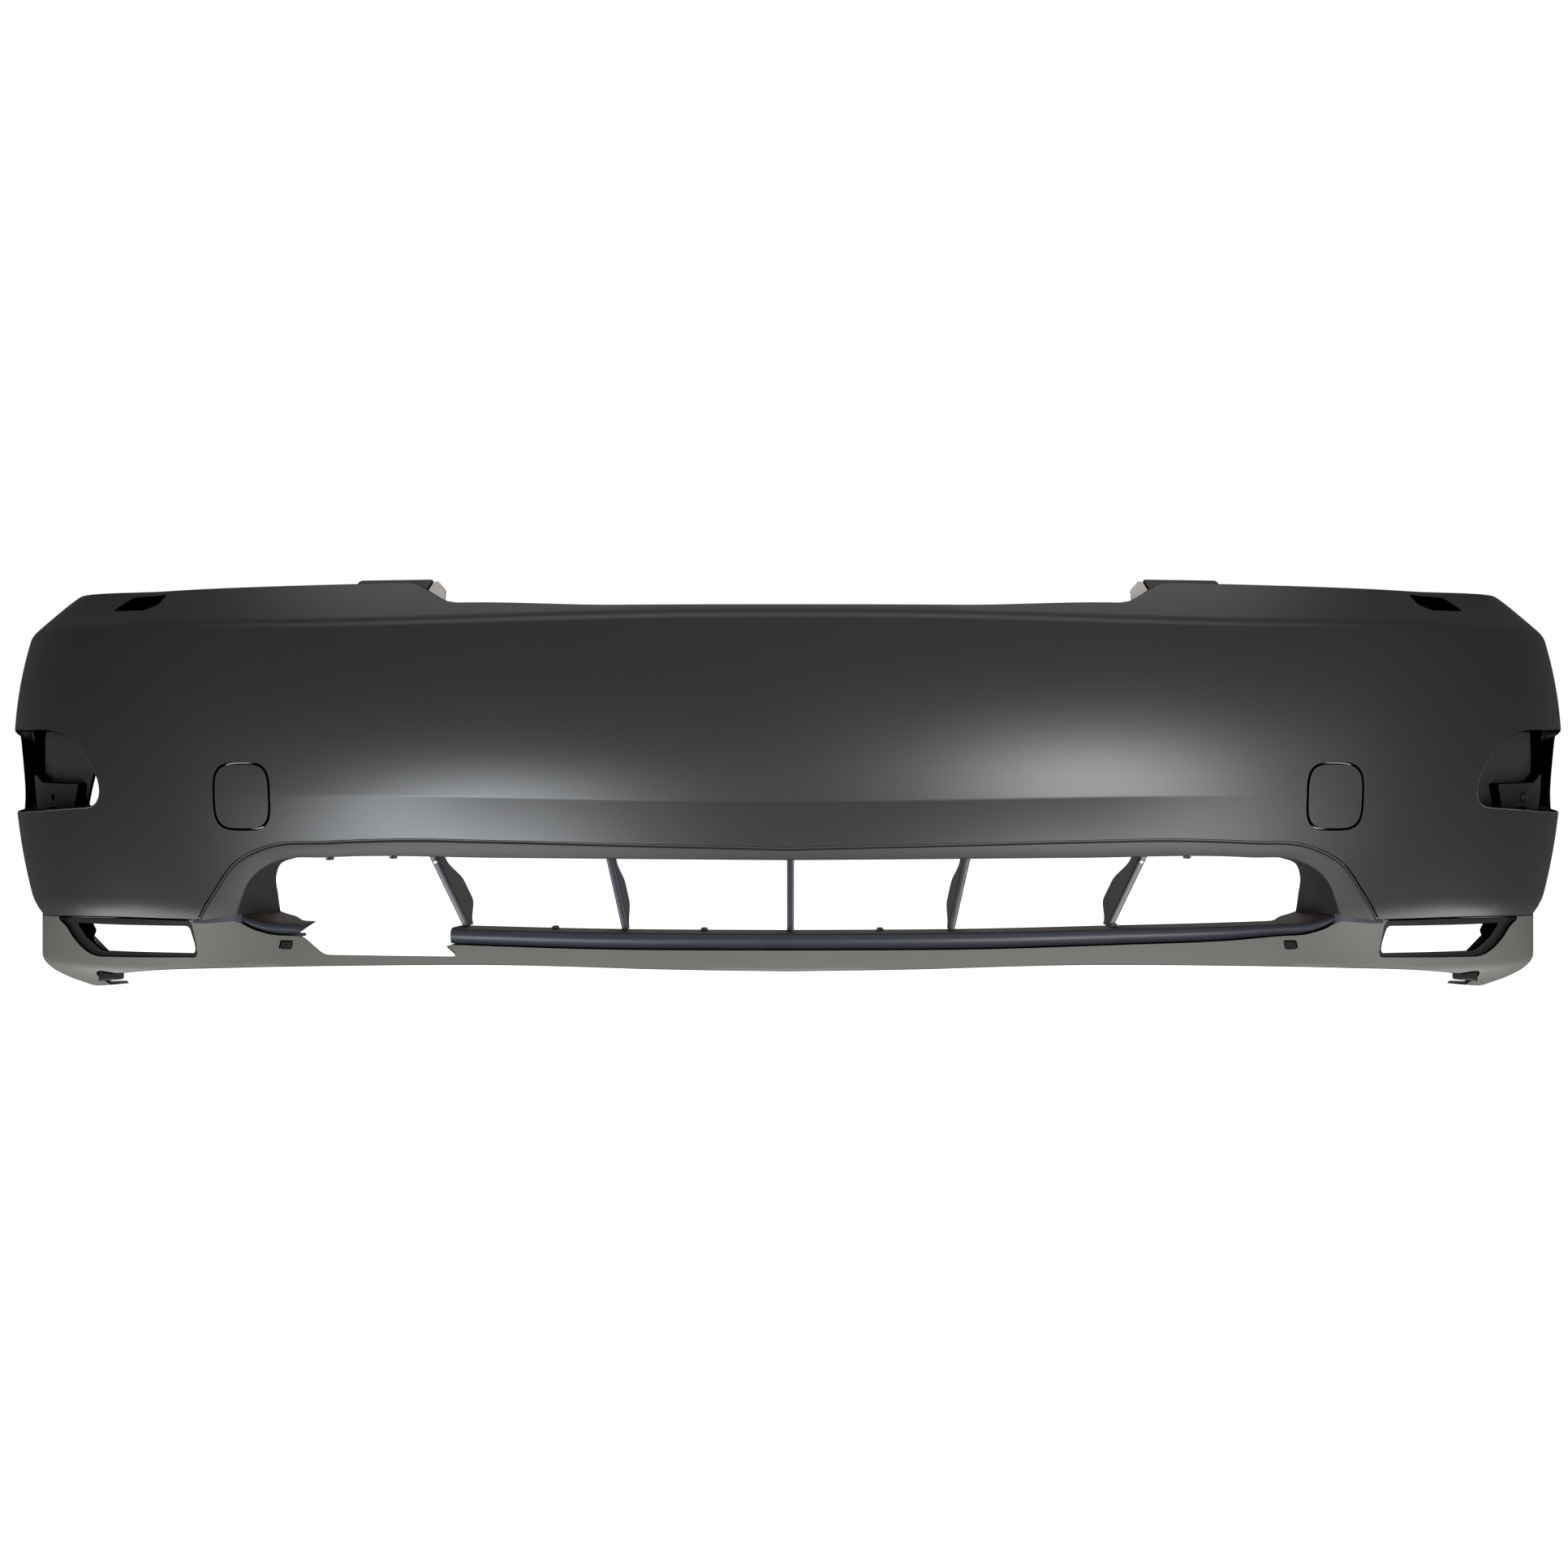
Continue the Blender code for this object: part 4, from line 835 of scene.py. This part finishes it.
# ---------------------------------------------------------------- painted skin
def cover_outline():
    border = resampled(spline(BORDER, 600), 0.004)
    lower = resampled(spline(LOWER_EDGE, 200), 0.006)
    arch = resampled(spline(WHEEL_ARCH, 200), 0.006)
    wing = resampled([WHEEL_ARCH[-1], (WING_END, top_edge(WING_END))], 0.006)
    a = np.concatenate([np.arange(WING_END, 0.43, -0.006), np.arange(0.43, 0.345, -0.002),
                        np.linspace(0.345, 0, 50)])
    top = np.stack([a, top_edge(a)], axis=1)
    right = [border, lower, arch, wing, top]
    return chain(right + [mirrored(line) for line in right[::-1]])


def skin_stations(end, fine, coarse):
    out = list(np.arange(0, 0.56, coarse)) + list(np.arange(0.56, end, fine))
    return np.array(sorted({round(v, 6) for v in out} | {-round(v, 6) for v in out}))


def cover_seeds():
    fine, coarse, tall = ((0.0065, 0.009, 1.0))
    seeds = []
    for s in skin_stations(WING_END - 0.004, fine, coarse):
        floor = float(level(BORDER, s) if abs(s) < BORDER[-1][0] else level(LOWER_EDGE, s))
        fold, edge, top = float(crease(s)), float(shoulder(s)), float(top_edge(s))
        rows = [fold - 0.0032, fold - 0.0015, fold, fold + 0.0015, fold + 0.0032]
        rows += list(edge + np.array([-0.0065, -0.0045, -0.0022, 0, 0.0022, 0.0045, 0.0065]))
        rows += list(np.linspace(fold + 0.006, edge - 0.009, int(30 * tall)))
        rows += list(np.linspace(floor, fold - 0.006, int(9 * tall) + (9 if abs(s) > 0.6 else 0)))
        rows += list(np.arange(edge + 0.010, top, 0.005 / tall))
        seeds += [(s, z) for z in rows]
    return seeds


def tow_loop(side, inset=0.0):
    return squircle(TOW_AT * (side, 1), TOW_CUT_WIDTH - 2 * inset, TOW_CUT_HEIGHT - 2 * inset)


def marker_loop(side, grow=0.0):
    closed = np.concatenate([MARKER_CUT, MARKER_CUT[:1]])
    return grown(closed_resampled(side_loop(spline(closed, 400)[:-1], side), 0.003), grow)


def washer_loop(side):
    return soft_loop(WASHER_CUT, side, 0.004, 0.0018)


MARKER_EDGE = marker_loop(1)


def cover_rim(s, z, normal, inward):
    a, reach = np.abs(s), np.zeros((len(s), 3))
    tow = np.hypot((a - TOW_AT[0]) / TOW_CUT_WIDTH, (z - TOW_AT[1]) / TOW_CUT_HEIGHT) < 0.75
    reach[tow] = -normal[tow] * (SKIRT + 0.001)
    mark = close_to(MARKER_EDGE, a, z, 0.0012)
    lean = 0.4 * ease(0.95, 1.05, a)[:, None]
    reach[mark] = (-MARKER_RETURN * (0.95 * normal + lean * inward))[mark]
    wheel = (a > LOWER_EDGE[-1][0] + 0.004) & (z < 0.09)
    reach[wheel] = -0.018 * normal[wheel]
    return reach


# Edges that take the pale colour: partly unpainted, partly a painted highlight for the light the
# step and marker returns catch.
def cover_bare_and_highlight(s, z):
    a = np.abs(s)
    step = (np.abs(z - top_edge(s)) < 0.0008) & (a > 0.362) & (a < 0.421)
    mark = close_to(MARKER_EDGE, a, z, 0.0012)
    return step | mark


loops = [cover_outline()]
for side, _ in SIDES:
    loops += [tow_loop(side), marker_loop(side), washer_loop(side)]
cover = moulding("painted_skin", FACE, loops, PRIMER, WALL, cover_seeds(), 0.0048, cover_rim,
                 bare_and_highlight=cover_bare_and_highlight)
place(cover, COVER, "primer", "bumper_cover")

for side, word in SIDES:
    centre = TOW_AT * (side, 1)
    seeds = [centre + (i * 0.004, j * 0.004) for i in range(-7, 8) for j in range(-8, 9)]
    lid = moulding(f"towing_eye_lid_{word}", FACE, [tow_loop(side, TOW_REVEAL)], PRIMER,
                   WALL * 0.7, seeds, 0.0035,
                   lambda s, z, normal, inward: -SKIRT * normal - (TOW_REVEAL - GAP) * inward)
    place(lid, f"tow_cover_{word}_body", "primer", f"tow_cover_{word}")


# ---------------------------------------------------------------- grille opening
def tuck_line(count):
    border = spline(BORDER, count)
    tangent = unit(np.gradient(border, axis=0))
    reach = TUCK - (TUCK - 0.002) * ease(0.72, 0.90, np.linspace(0, 1, count))
    return border + reach[:, None] * np.stack([-tangent[:, 1], tangent[:, 0]], axis=1)


def duct_depth(a):
    return 0.074 + 0.020 * ease(0.45, 0.57, a)


def surround_rings(count):
    border, front, rear = (both_halves(spline(line, count))
                           for line in (BORDER, ARCH_FRONT, ARCH_BACK))
    tucks = both_halves(tuck_line(count))
    sunk, lap_sunk = WALL + 2 * GAP, 0.0014
    rings = []
    for b, o, f, r in zip(border, tucks, front, rear):
        out = (o - b) / np.linalg.norm(o - b)
        edge, n_edge = FACE(b[0], b[1])
        step, lap = FACE(*(b - out * 0.0022))[0], FACE(*(b - out * 0.0030))[0]
        tuck, n_tuck = FACE(o[0], o[1])
        inner, n_in = FACE(f[0], f[1])
        into = unit(inner - edge)
        back = on_bow(r[0], r[1], 0.0)
        back = np.array([back[0], inner[1] + duct_depth(abs(r[0])), back[2]])
        ring = [tuck - sunk * n_tuck,
                edge - sunk * n_edge,
                step - sunk * n_edge,
                lap - lap_sunk * n_edge,
                inner - lap_sunk * n_in,
                back,
                back - into * LIP_WALL,
                inner - into * LIP_WALL - (lap_sunk + LIP_WALL) * n_in,
                FACE(*(b + out * 0.001))[0] - (sunk + LIP_WALL) * n_edge,
                tuck - (sunk + LIP_WALL) * n_tuck]
        rings.append(softened(np.array(ring), [0.0004, 0.0004, 0.0008, 0.0010, 0.0022, 0.0007,
                                               0.0007, 0.002, 0.0006, 0.0004], 5))
    return rings


surround = loft("arch_surround", surround_rings(150), SURROUND_GREY, 40)
place(surround, COVER, "grey_moulding", "grille_surround")


def rail_rings(stations, lean=0.0):
    """Rings of the rail; lean draws the end of the stub back under its top."""
    rings = []
    for s in stations:
        deep = RAIL_DEPTH + 0.046 * float(ease(0.525, 0.566, abs(s)))
        slant = lean * float(ease(0.56, 0.525, abs(s)))
        foot, head = float(level(LIP_TOP, s)) + 2 * GAP, float(level(RAIL_TOP, s))
        tall, near = head - foot, float(lip_setback(s, level(LIP_TOP, s)))
        shape = [(near + 0.004, foot), (near + 0.0005, foot + 0.2 * tall),
                 (near - 0.001, foot + 0.5 * tall), (near + 0.001, foot + 0.82 * tall),
                 (near + 0.005, head - 0.0006), (near + 0.010, head),
                 (near + deep, head), (near + deep, foot)]
        ring = np.array([on_bow(s - slant * (n - near) * (z < head - 0.0002), z, n)
                         for n, z in shape])
        rings.append(softened(ring, [0.002, 0.004, 0.005, 0.004, 0.003, 0.003, 0.001, 0.001], 5))
    return rings


RAIL_END = BORDER[-1][0] - 0.003
RAIL_STEPS = 140
rail = loft("rail_main", rail_rings(np.linspace(SENSOR_NOTCH[-1][0] + 0.004, RAIL_END, RAIL_STEPS)),
            RAIL_BLACK, 40)
place(rail, COVER, "black_moulding", "lower_rail_main")
stub = loft("rail_stub", rail_rings(np.linspace(-RAIL_END, SENSOR_NOTCH[0][0] - 0.005, 40), 0.42),
            RAIL_BLACK, 40)
place(stub, COVER, "black_moulding", "lower_rail_stub")


def foot_flange(side, word):
    """The thin dark flange that carries the rail's line on under the arch's foot."""
    rings = []
    for s in np.linspace(*FOOT_FLANGE, 16):
        foot, head = float(level(LIP_TOP, s)) - 0.0008, float(level(RAIL_TOP, s)) + 0.0012
        near = float(lip_setback(s, foot))
        front, rear = near - 0.0014, near + 0.010
        rings.append([on_bow(side * s, z, n) for z, n in (
            (foot, front), (head, front), (head, rear), (foot, rear))])
    if side > 0:
        rings = rings[::-1]
    place(loft(f"arch_foot_flange_{word}", rings, RAIL_BLACK, 40), COVER, "black_moulding")


for side, word in SIDES:
    foot_flange(side, word)


def rib_rings(k, steps=44):
    head = float(level(ARCH_FRONT, RIB_TOPS[k])) - GAP
    foot = float(level(RAIL_TOP, RIB_FEET[k])) + GAP
    start = on_bow(RIB_TOPS[k], 0, setback(RIB_TOPS[k], head))
    end = on_bow(RIB_FEET[k], 0, lip_setback(RIB_FEET[k], level(LIP_TOP, RIB_FEET[k])))
    rings = []
    for t in np.linspace(0, 1, steps):
        x = start[0] + (end[0] - start[0]) * t
        y = max(start[1] + RIB_FRONT + (end[1] - start[1]) * t, start[1] + 0.006)
        belly = float(0.58 + 0.42 * ease(0.08, 0.42, t) - 0.62 * ease(0.66, 1.0, t))
        deep = min(RIB_DEPTH * belly, duct_depth(0) - RIB_FRONT - 0.002 if t == 0 else 1)
        w, bead = RIB_THICKNESS / 2, RIB_BEAD / 2
        z = DATUM[2] + head + (foot - head) * t
        ring = np.array([(x - bead, y, z), (x + bead, y, z), (x + bead, y + 0.0045, z),
                         (x + w, y + 0.0055, z), (x + w, y + deep, z), (x - w, y + deep, z),
                         (x - w, y + 0.0055, z), (x - bead, y + 0.0045, z)])
        rings.append(softened(ring, [0.0014, 0.0014, 0.0008, 0.0012, 0.0009, 0.0009, 0.0012,
                                     0.0008], 4))
    return rings


for k in range(len(RIB_TOPS)):
    rings = rib_rings(k)
    plate = ([0] * 12 + [1] * 16 + [0] * 4) * len(rings)
    rib = loft(f"rib_{k + 1}", rings, RIB_BLACK, 40, {"plate": plate})
    place(rib, COVER, "rib_black", f"grille_rib_{k + 1}")


# ---------------------------------------------------------------- valance
def rounded_line(points, radius):
    points = np.asarray(points, float)
    out = [points[0]]
    for p, q, r in zip(points, points[1:], points[2:]):
        out += arc_of(q + unit(p - q) * radius, q, q + unit(r - q) * radius, 7)
    return resampled(np.array(out + [points[-1]]), 0.003)


def valance_outline():
    over = resampled(spline(LOWER_EDGE, 200) - (0, GAP), 0.005)
    over = over[(over[:, 0] > LIP_TOP[-1][0] + 0.004) & (over[:, 0] < LIP_END)]
    under = resampled(spline(LIP_BOTTOM, 800), 0.004)
    top = resampled(spline(LIP_TOP, 400), 0.004)
    right_top = np.concatenate([top, over, [(LIP_END, level(LOWER_EDGE, LIP_END) - GAP)]])
    left_top = mirrored(right_top)
    low, high = SENSOR_NOTCH[0][0], SENSOR_NOTCH[-1][0]
    before = left_top[left_top[:, 0] < low - 0.003]
    after = left_top[(left_top[:, 0] > high + 0.003) & (left_top[:, 0] < 0)]
    top_line = np.concatenate([before, rounded_line(SENSOR_NOTCH, 0.006), after, right_top])
    return chain([both_halves(under), top_line[::-1]])


def fog_loop(side, grow=0.0):
    return grown(soft_loop(FOG_CUT, side, 0.006), grow)


def lip_clip_loop(side, shrink=0.0):
    w, h = 0.0068 - shrink, 0.004 - shrink
    c = LIP_CLIP_AT * (side, 1)
    return rounded(rectangle(c - (w, h), c + (w, h)), 0.0015)


def valance_rim(s, z, normal, inward):
    a, reach = np.abs(s), np.zeros((len(s), 3))
    flat = normal.copy()
    flat[:, 2] = 0
    flat = unit(flat)
    shelf = (np.abs(z - level(LIP_TOP, s)) < 1e-4) & (a < LIP_TOP[-2][0])
    shelf &= (s < SENSOR_NOTCH[0][0] - 0.012) | (s > SENSOR_NOTCH[-1][0] + 0.004)
    reach[shelf] = -flat[shelf] * (RAIL_DEPTH - 0.004)
    keel = np.abs(z - level(LIP_BOTTOM, s)) < 1e-4
    reach[keel] = -flat[keel] * KEEL_DEPTH
    return reach


def valance_seeds():
    seeds = []
    rows = np.linspace(0.03, 0.97, 17)
    for s in skin_stations(LIP_END - 0.004, 0.006, 0.008):
        low = float(level(LIP_BOTTOM, s))
        high = float(level(LIP_TOP, s) if abs(s) < LIP_TOP[-1][0] else level(LOWER_EDGE, s))
        seeds += [(s, low + (high - low) * t) for t in rows]
    return seeds


loops = [valance_outline()]
for side, _ in SIDES:
    loops += [fog_loop(side), lip_clip_loop(side)]
valance = moulding("valance", LIP, loops, VALANCE_GREY, LIP_WALL, valance_seeds(), 0.0036,
                   valance_rim)
place(valance, COVER, "valance_grey", "lower_valance")


# ---------------------------------------------------------------- small pieces, both sides
def marker_bracket(side, word):
    """The tray behind the side-marker hole; the left one has a window."""
    outer = soft_loop(rectangle(BRACKET_LOW, BRACKET_HIGH), side, 0.018, 0.006)
    loops = [outer]
    if side < 0:
        loops.append(soft_loop(BRACKET_WINDOW, side, 0.004))
    seeds = [(side * s, z) for s in np.arange(0.712, 1.10, 0.007)
             for z in np.linspace(BRACKET_LOW[1], BRACKET_HIGH[1], 22)[1:-1]]
    window = np.array(BRACKET_WINDOW)
    rim = flange(BRACKET_DEPTH - WALL - GAP - 0.0005,
                 lambda s, z: close_to(window, np.abs(s), z, 0.005))
    tray = moulding(f"marker_bracket_skin_{word}", sheet_of(setback, BRACKET_DEPTH), loops,
                    BRACKET, TRAY_WALL, seeds, 0.005, rim, flip=True)
    place(tray, COVER, "bracket_dark", f"marker_bracket_{word}")


def marker_foot(side, word):
    """The black plate that stands in the tray, with a hole for the push pin."""
    centre = PIN_AT * (side, 1)
    t = np.linspace(0, 2 * math.pi, 40, endpoint=False)
    hole = centre + np.stack([np.cos(t), np.sin(t)], axis=1) * (PIN_SHANK / 2 + 3 * GAP)
    rim = flange(BRACKET_DEPTH - TRAY_WALL - FOOT_DEPTH - 2 * GAP,
                 lambda s, z: np.hypot(s - centre[0], z - centre[1]) <= 0.006)
    foot = moulding(f"marker_foot_plate_{word}", sheet_of(setback, FOOT_DEPTH),
                    [soft_loop(FOOT_OUTLINE, side, 0.003, 0.0022), hole], BLACK, 0.002,
                    grid(side, (0.808, 0.968, 0.005), (-0.034, 0.008, 0.005)), 0.003, rim,
                    radius=0.0005)
    place(foot, COVER, "black_moulding", f"marker_foot_{word}")


def push_pin():
    at, n = sheet_of(setback, FOOT_DEPTH)(*PIN_AT)
    r = PIN_SHANK / 2
    profile = [(-0.010, r * 0.45), (-0.006, r), (0, r)] + PIN_PROFILE
    pin = loft("bracket_push_pin", turned(at + n * 2 * GAP, n, profile), CLIP)
    place(pin, COVER, "clip_black", "marker_push_pin")


def marker_post(side, word):
    """The slotted upright at the rear of the tray."""
    loops = [soft_loop(rectangle(POST_LOW, POST_HIGH), side, 0.004),
             soft_loop(rectangle(SLOT_LOW, SLOT_HIGH), side, 0.003)]
    post = moulding(f"marker_post_{word}", sheet_of(setback, POST_DEPTH), loops, BLACK, 0.0022,
                    grid(side, (0.994, 1.038, 0.005), (-0.034, 0.064, 0.006)), 0.003,
                    flange(0.012), radius=0.0006)
    place(post, COVER, "bracket_dark")


def top_pieces(side, word):
    """The black retainer and the pale plate behind the raised top edge."""
    behind = sheet_of(setback, WALL + 2 * GAP)
    loop = soft_loop(rectangle(RETAINER_LOW, RETAINER_HIGH), side, 0.003, 0.002)
    retainer = moulding(f"top_retainer_{word}", behind, [loop], BLACK, 0.0035,
                        grid(side, (0.403, 0.484, 0.005), (0.200, 0.223, 0.005)), 0.003)
    place(retainer, COVER, "black_moulding", f"upper_retainer_{word}")
    pale = moulding(f"top_plate_{word}", behind, [soft_loop(PLATE_OUTLINE, side, 0.0015, 0.002)],
                    PALE, 0.002, grid(side, (0.375, 0.396, 0.005), (0.191, 0.220, 0.005)),
                    0.003, radius=0.0006)
    place(pale, COVER, "pale_plate", f"upper_plate_{word}")


def washer_well(side, word):
    """The cup that closes the washer hole from behind."""
    cup = moulding(f"washer_cup_{word}", sheet_of(setback, WELL_DEPTH),
                   [soft_loop(rectangle(WELL_LOW, WELL_HIGH), side, 0.006)], BLACK, TRAY_WALL,
                   grid(side, (0.711, 0.793, 0.006), (0.188, 0.207, 0.005)), 0.004,
                   flange(WELL_DEPTH - WALL - GAP - 0.0005), flip=True)
    place(cup, COVER, "black_moulding", f"washer_well_{word}")


def fog_bezel(side, word):
    """The frame inside the fog-lamp hole, with a flange that is deeper at its top."""
    hole = soft_loop(FOG_HOLE, side, 0.005)

    def rim(s, z, normal, inward):
        deep = FLANGE_SHALLOW + (FLANGE_DEEP - FLANGE_SHALLOW) * ease(-0.172, -0.158, z)
        return np.where(close_to(hole, s, z, 0.001)[:, None], -deep[:, None] * normal, 0)

    bezel = moulding(f"fog_frame_{word}", sheet_of(lip_setback, LIP_WALL + 3 * GAP),
                     [fog_loop(side, BEZEL_LAP), hole], BLACK, 0.0022, (), 0.003, rim,
                     radius=0.0006)
    place(bezel, COVER, "black_moulding", f"fog_bezel_{word}")


def lip_clips(side, word):
    """The plug in the face of the lip and the clip under its corner."""
    plug = moulding(f"lip_plug_{word}", sheet_of(lip_setback, 0.0008), [lip_clip_loop(side, GAP)],
                    CLIP, 0.0018, (), 0.003, radius=0.0004)
    place(plug, COVER, "clip_black", f"lip_clip_{word}")
    rings = []
    for s in np.linspace(*CORNER_CLIP, 14):
        high = float(level(LIP_BOTTOM, s - 0.0100)) - 2 * GAP
        low = -0.2108 - 0.0040 * float(ease(*CORNER_CLIP, s))
        near = float(lip_setback(s, level(LIP_BOTTOM, s))) + 0.002
        rear = near + CLIP_DEPTH
        ring = np.array([on_bow(side * s, z, n) for n, z in (
            (near, high), (near, low), (rear, low), (rear, high))])
        rings.append(softened(ring, [0.0006, 0.0012, 0.0012, 0.0006], 4))
    clip = loft(f"undertray_clip_{word}", rings, CLIP, 40)
    place(clip, COVER, "clip_black", f"corner_clip_{word}")


for side, word in SIDES:
    marker_bracket(side, word)
    marker_foot(side, word)
    if side > 0:
        push_pin()
    marker_post(side, word)
    top_pieces(side, word)
    washer_well(side, word)
    fog_bezel(side, word)
    lip_clips(side, word)


# ---------------------------------------------------------------- clips and screws
def places_of(nodes, lift):
    """Middle of each node's box, at its front, and at its top or its foot."""
    out = []
    for node in nodes:
        low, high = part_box(node)
        out.append(((low.x + high.x) / 2, low.y, high.z if lift else low.z))
    return out


def tab_clips(name, nodes, up, width, height):
    """Small moulded tabs with a cross rib and a rounded nose, hanging or standing."""
    s = Shape(name, Width=width, Height=height, Depth=0.0125)
    way = 1 if up else -1
    w, h, d = (s.size[key] for key in ("Width", "Height", "Depth"))
    middle = h * (way * 0.5)
    body = s.bar(w * 0.72, h, 0.0008, (0, 0.0006, middle), (0, d, middle))
    nose = s.bar(w, h * 0.55, 0.0007, (0, 0, middle * 0.7), (0, 0.0030, middle * 0.7))
    rib = s.bar(w * 0.2, h * 1.0, 0.0003, (0, 0, middle), (0, d * 0.8, middle))
    s.on_places(s.joined(body, nose, rib), CLIP)
    return s.built(name, places_of(nodes, not up))


arch_nodes = [f"arch_clip_{k + 1}" for k in range(3)]
place(tab_clips("arch_clips", arch_nodes, False, 0.0076, 0.0028), COVER, "clip_black", *arch_nodes)
rail_nodes = [f"rail_clip_{k + 1}" for k in range(4)]
place(tab_clips("rail_clips", rail_nodes, True, 0.0086, 0.0030), COVER, "clip_black", *rail_nodes)

screw = Shape("rib_screws", Head=0.0023, Shank=0.0008)
head = screw.dome(screw.size["Head"], (0, 0.0011, 0), (0, 0.0001, 0))
collar = screw.dome(screw.size["Head"], (0, 0.0014, 0), (0, 0.0009, 0), 4)
shank = screw.dome(screw.size["Shank"], (0, 0.0014, 0), (0, 0.0085, 0), 6)
screw.on_places(screw.joined(head, collar, shank), STEEL)
screw_nodes = ["rib_screw_left", "rib_screw_right"]
middles = []
for k in (0, len(RIB_TOPS) - 1):
    ring = rib_rings(k, 41)[3]
    x, _, z = ring.mean(axis=0)
    middles.append((x, ring[:, 1].min() - 0.0014, z))
place(screw.built("rib_screws", middles), COVER, "screw_steel", *screw_nodes)


# ---------------------------------------------------------------- stage
def softbox(name, azimuth, elevation, distance, size, power, colour=(1, 1, 1), aim=(0, 0, 0)):
    """A soft lamp round the middle of the face; azimuth is from straight ahead towards +X."""
    turn, rise = math.radians(azimuth), math.radians(elevation)
    middle = Vector((0, float(DATUM[1]), 0.20))
    at = middle + distance * Vector((math.cos(rise) * math.sin(turn),
                                     -math.cos(rise) * math.cos(turn), math.sin(rise)))
    data = bpy.data.lights.new(name, "AREA")
    data.shape = "RECTANGLE"
    data.size, data.size_y = size
    data.energy = power
    data.color = colour
    lamp = bpy.data.objects.new(name, data)
    bpy.context.scene.collection.objects.link(lamp)
    lamp.location = at
    lamp.rotation_euler = (middle + Vector(aim) - at).to_track_quat("-Z", "Y").to_euler()
    lamp.visible_camera = False
    return lamp


ROOM_LIGHT = 0.11
studio = bpy.data.worlds.new("studio")
bpy.context.scene.world = studio
studio.use_nodes = True
room = Tree(studio.node_tree)
seen = room.node("ShaderNodeLightPath", out="Is Camera Ray")
background = studio.node_tree.nodes["Background"]
background.inputs["Color"].default_value = (1, 1, 1, 1)
studio.node_tree.links.new((seen * (1 - ROOM_LIGHT) + ROOM_LIGHT).socket,
                           background.inputs["Strength"])

floor_finish = bpy.data.materials.new("pale_floor")
floor_finish.use_nodes = True
glow = floor_finish.node_tree.nodes["Principled BSDF"]
glow.inputs["Base Color"].default_value = (0.9, 0.9, 0.9, 1)
glow.inputs["Emission Color"].default_value = (1, 1, 1, 1)
glow.inputs["Emission Strength"].default_value = 1.0
half = 14.0
floor = mesh_object("floor", [(-half, -half, -0.001), (half, -half, -0.001), (half, half, -0.001),
                              (-half, half, -0.001)], [(0, 1, 2, 3)], floor_finish)
for flag in ("visible_diffuse", "visible_glossy", "visible_shadow", "visible_transmission"):
    setattr(floor, flag, False)

softbox("low_left", -35, -19, 1.25, (0.38, 0.42), 11.5, (0.93, 0.98, 1.0), (-0.28, 0, 0))
softbox("low_right", 33, -9, 1.25, (0.40, 0.60), 13.5, (1.0, 0.985, 0.98), (0.28, 0, 0))
softbox("end_left", -95, -35, 1.7, (0.8, 0.8), 10, aim=(-0.8, 0.2, -0.15))
softbox("end_right", 95, -35, 1.7, (0.8, 0.8), 10, aim=(0.8, 0.2, -0.15))
softbox("overhead", 0, 78, 2.0, (2.6, 1.2), 13.0)
softbox("behind", 180, 40, 2.6, (2.4, 1.6), 8.0)

EYE_ASIDE, EYE_DISTANCE = -0.0045, 2.21
lens = bpy.data.cameras.new("eye")
lens.lens, lens.sensor_width = 50.0, 36.0
lens.clip_start, lens.clip_end = 0.05, 60
camera = bpy.data.objects.new("eye", lens)
bpy.context.scene.collection.objects.link(camera)
camera.location = (EYE_ASIDE, DATUM[1] - EYE_DISTANCE, DATUM[2])
camera.rotation_euler = (math.pi / 2, 0, 0)
bpy.context.scene.camera = camera
bpy.context.scene.view_settings.view_transform = "Standard"
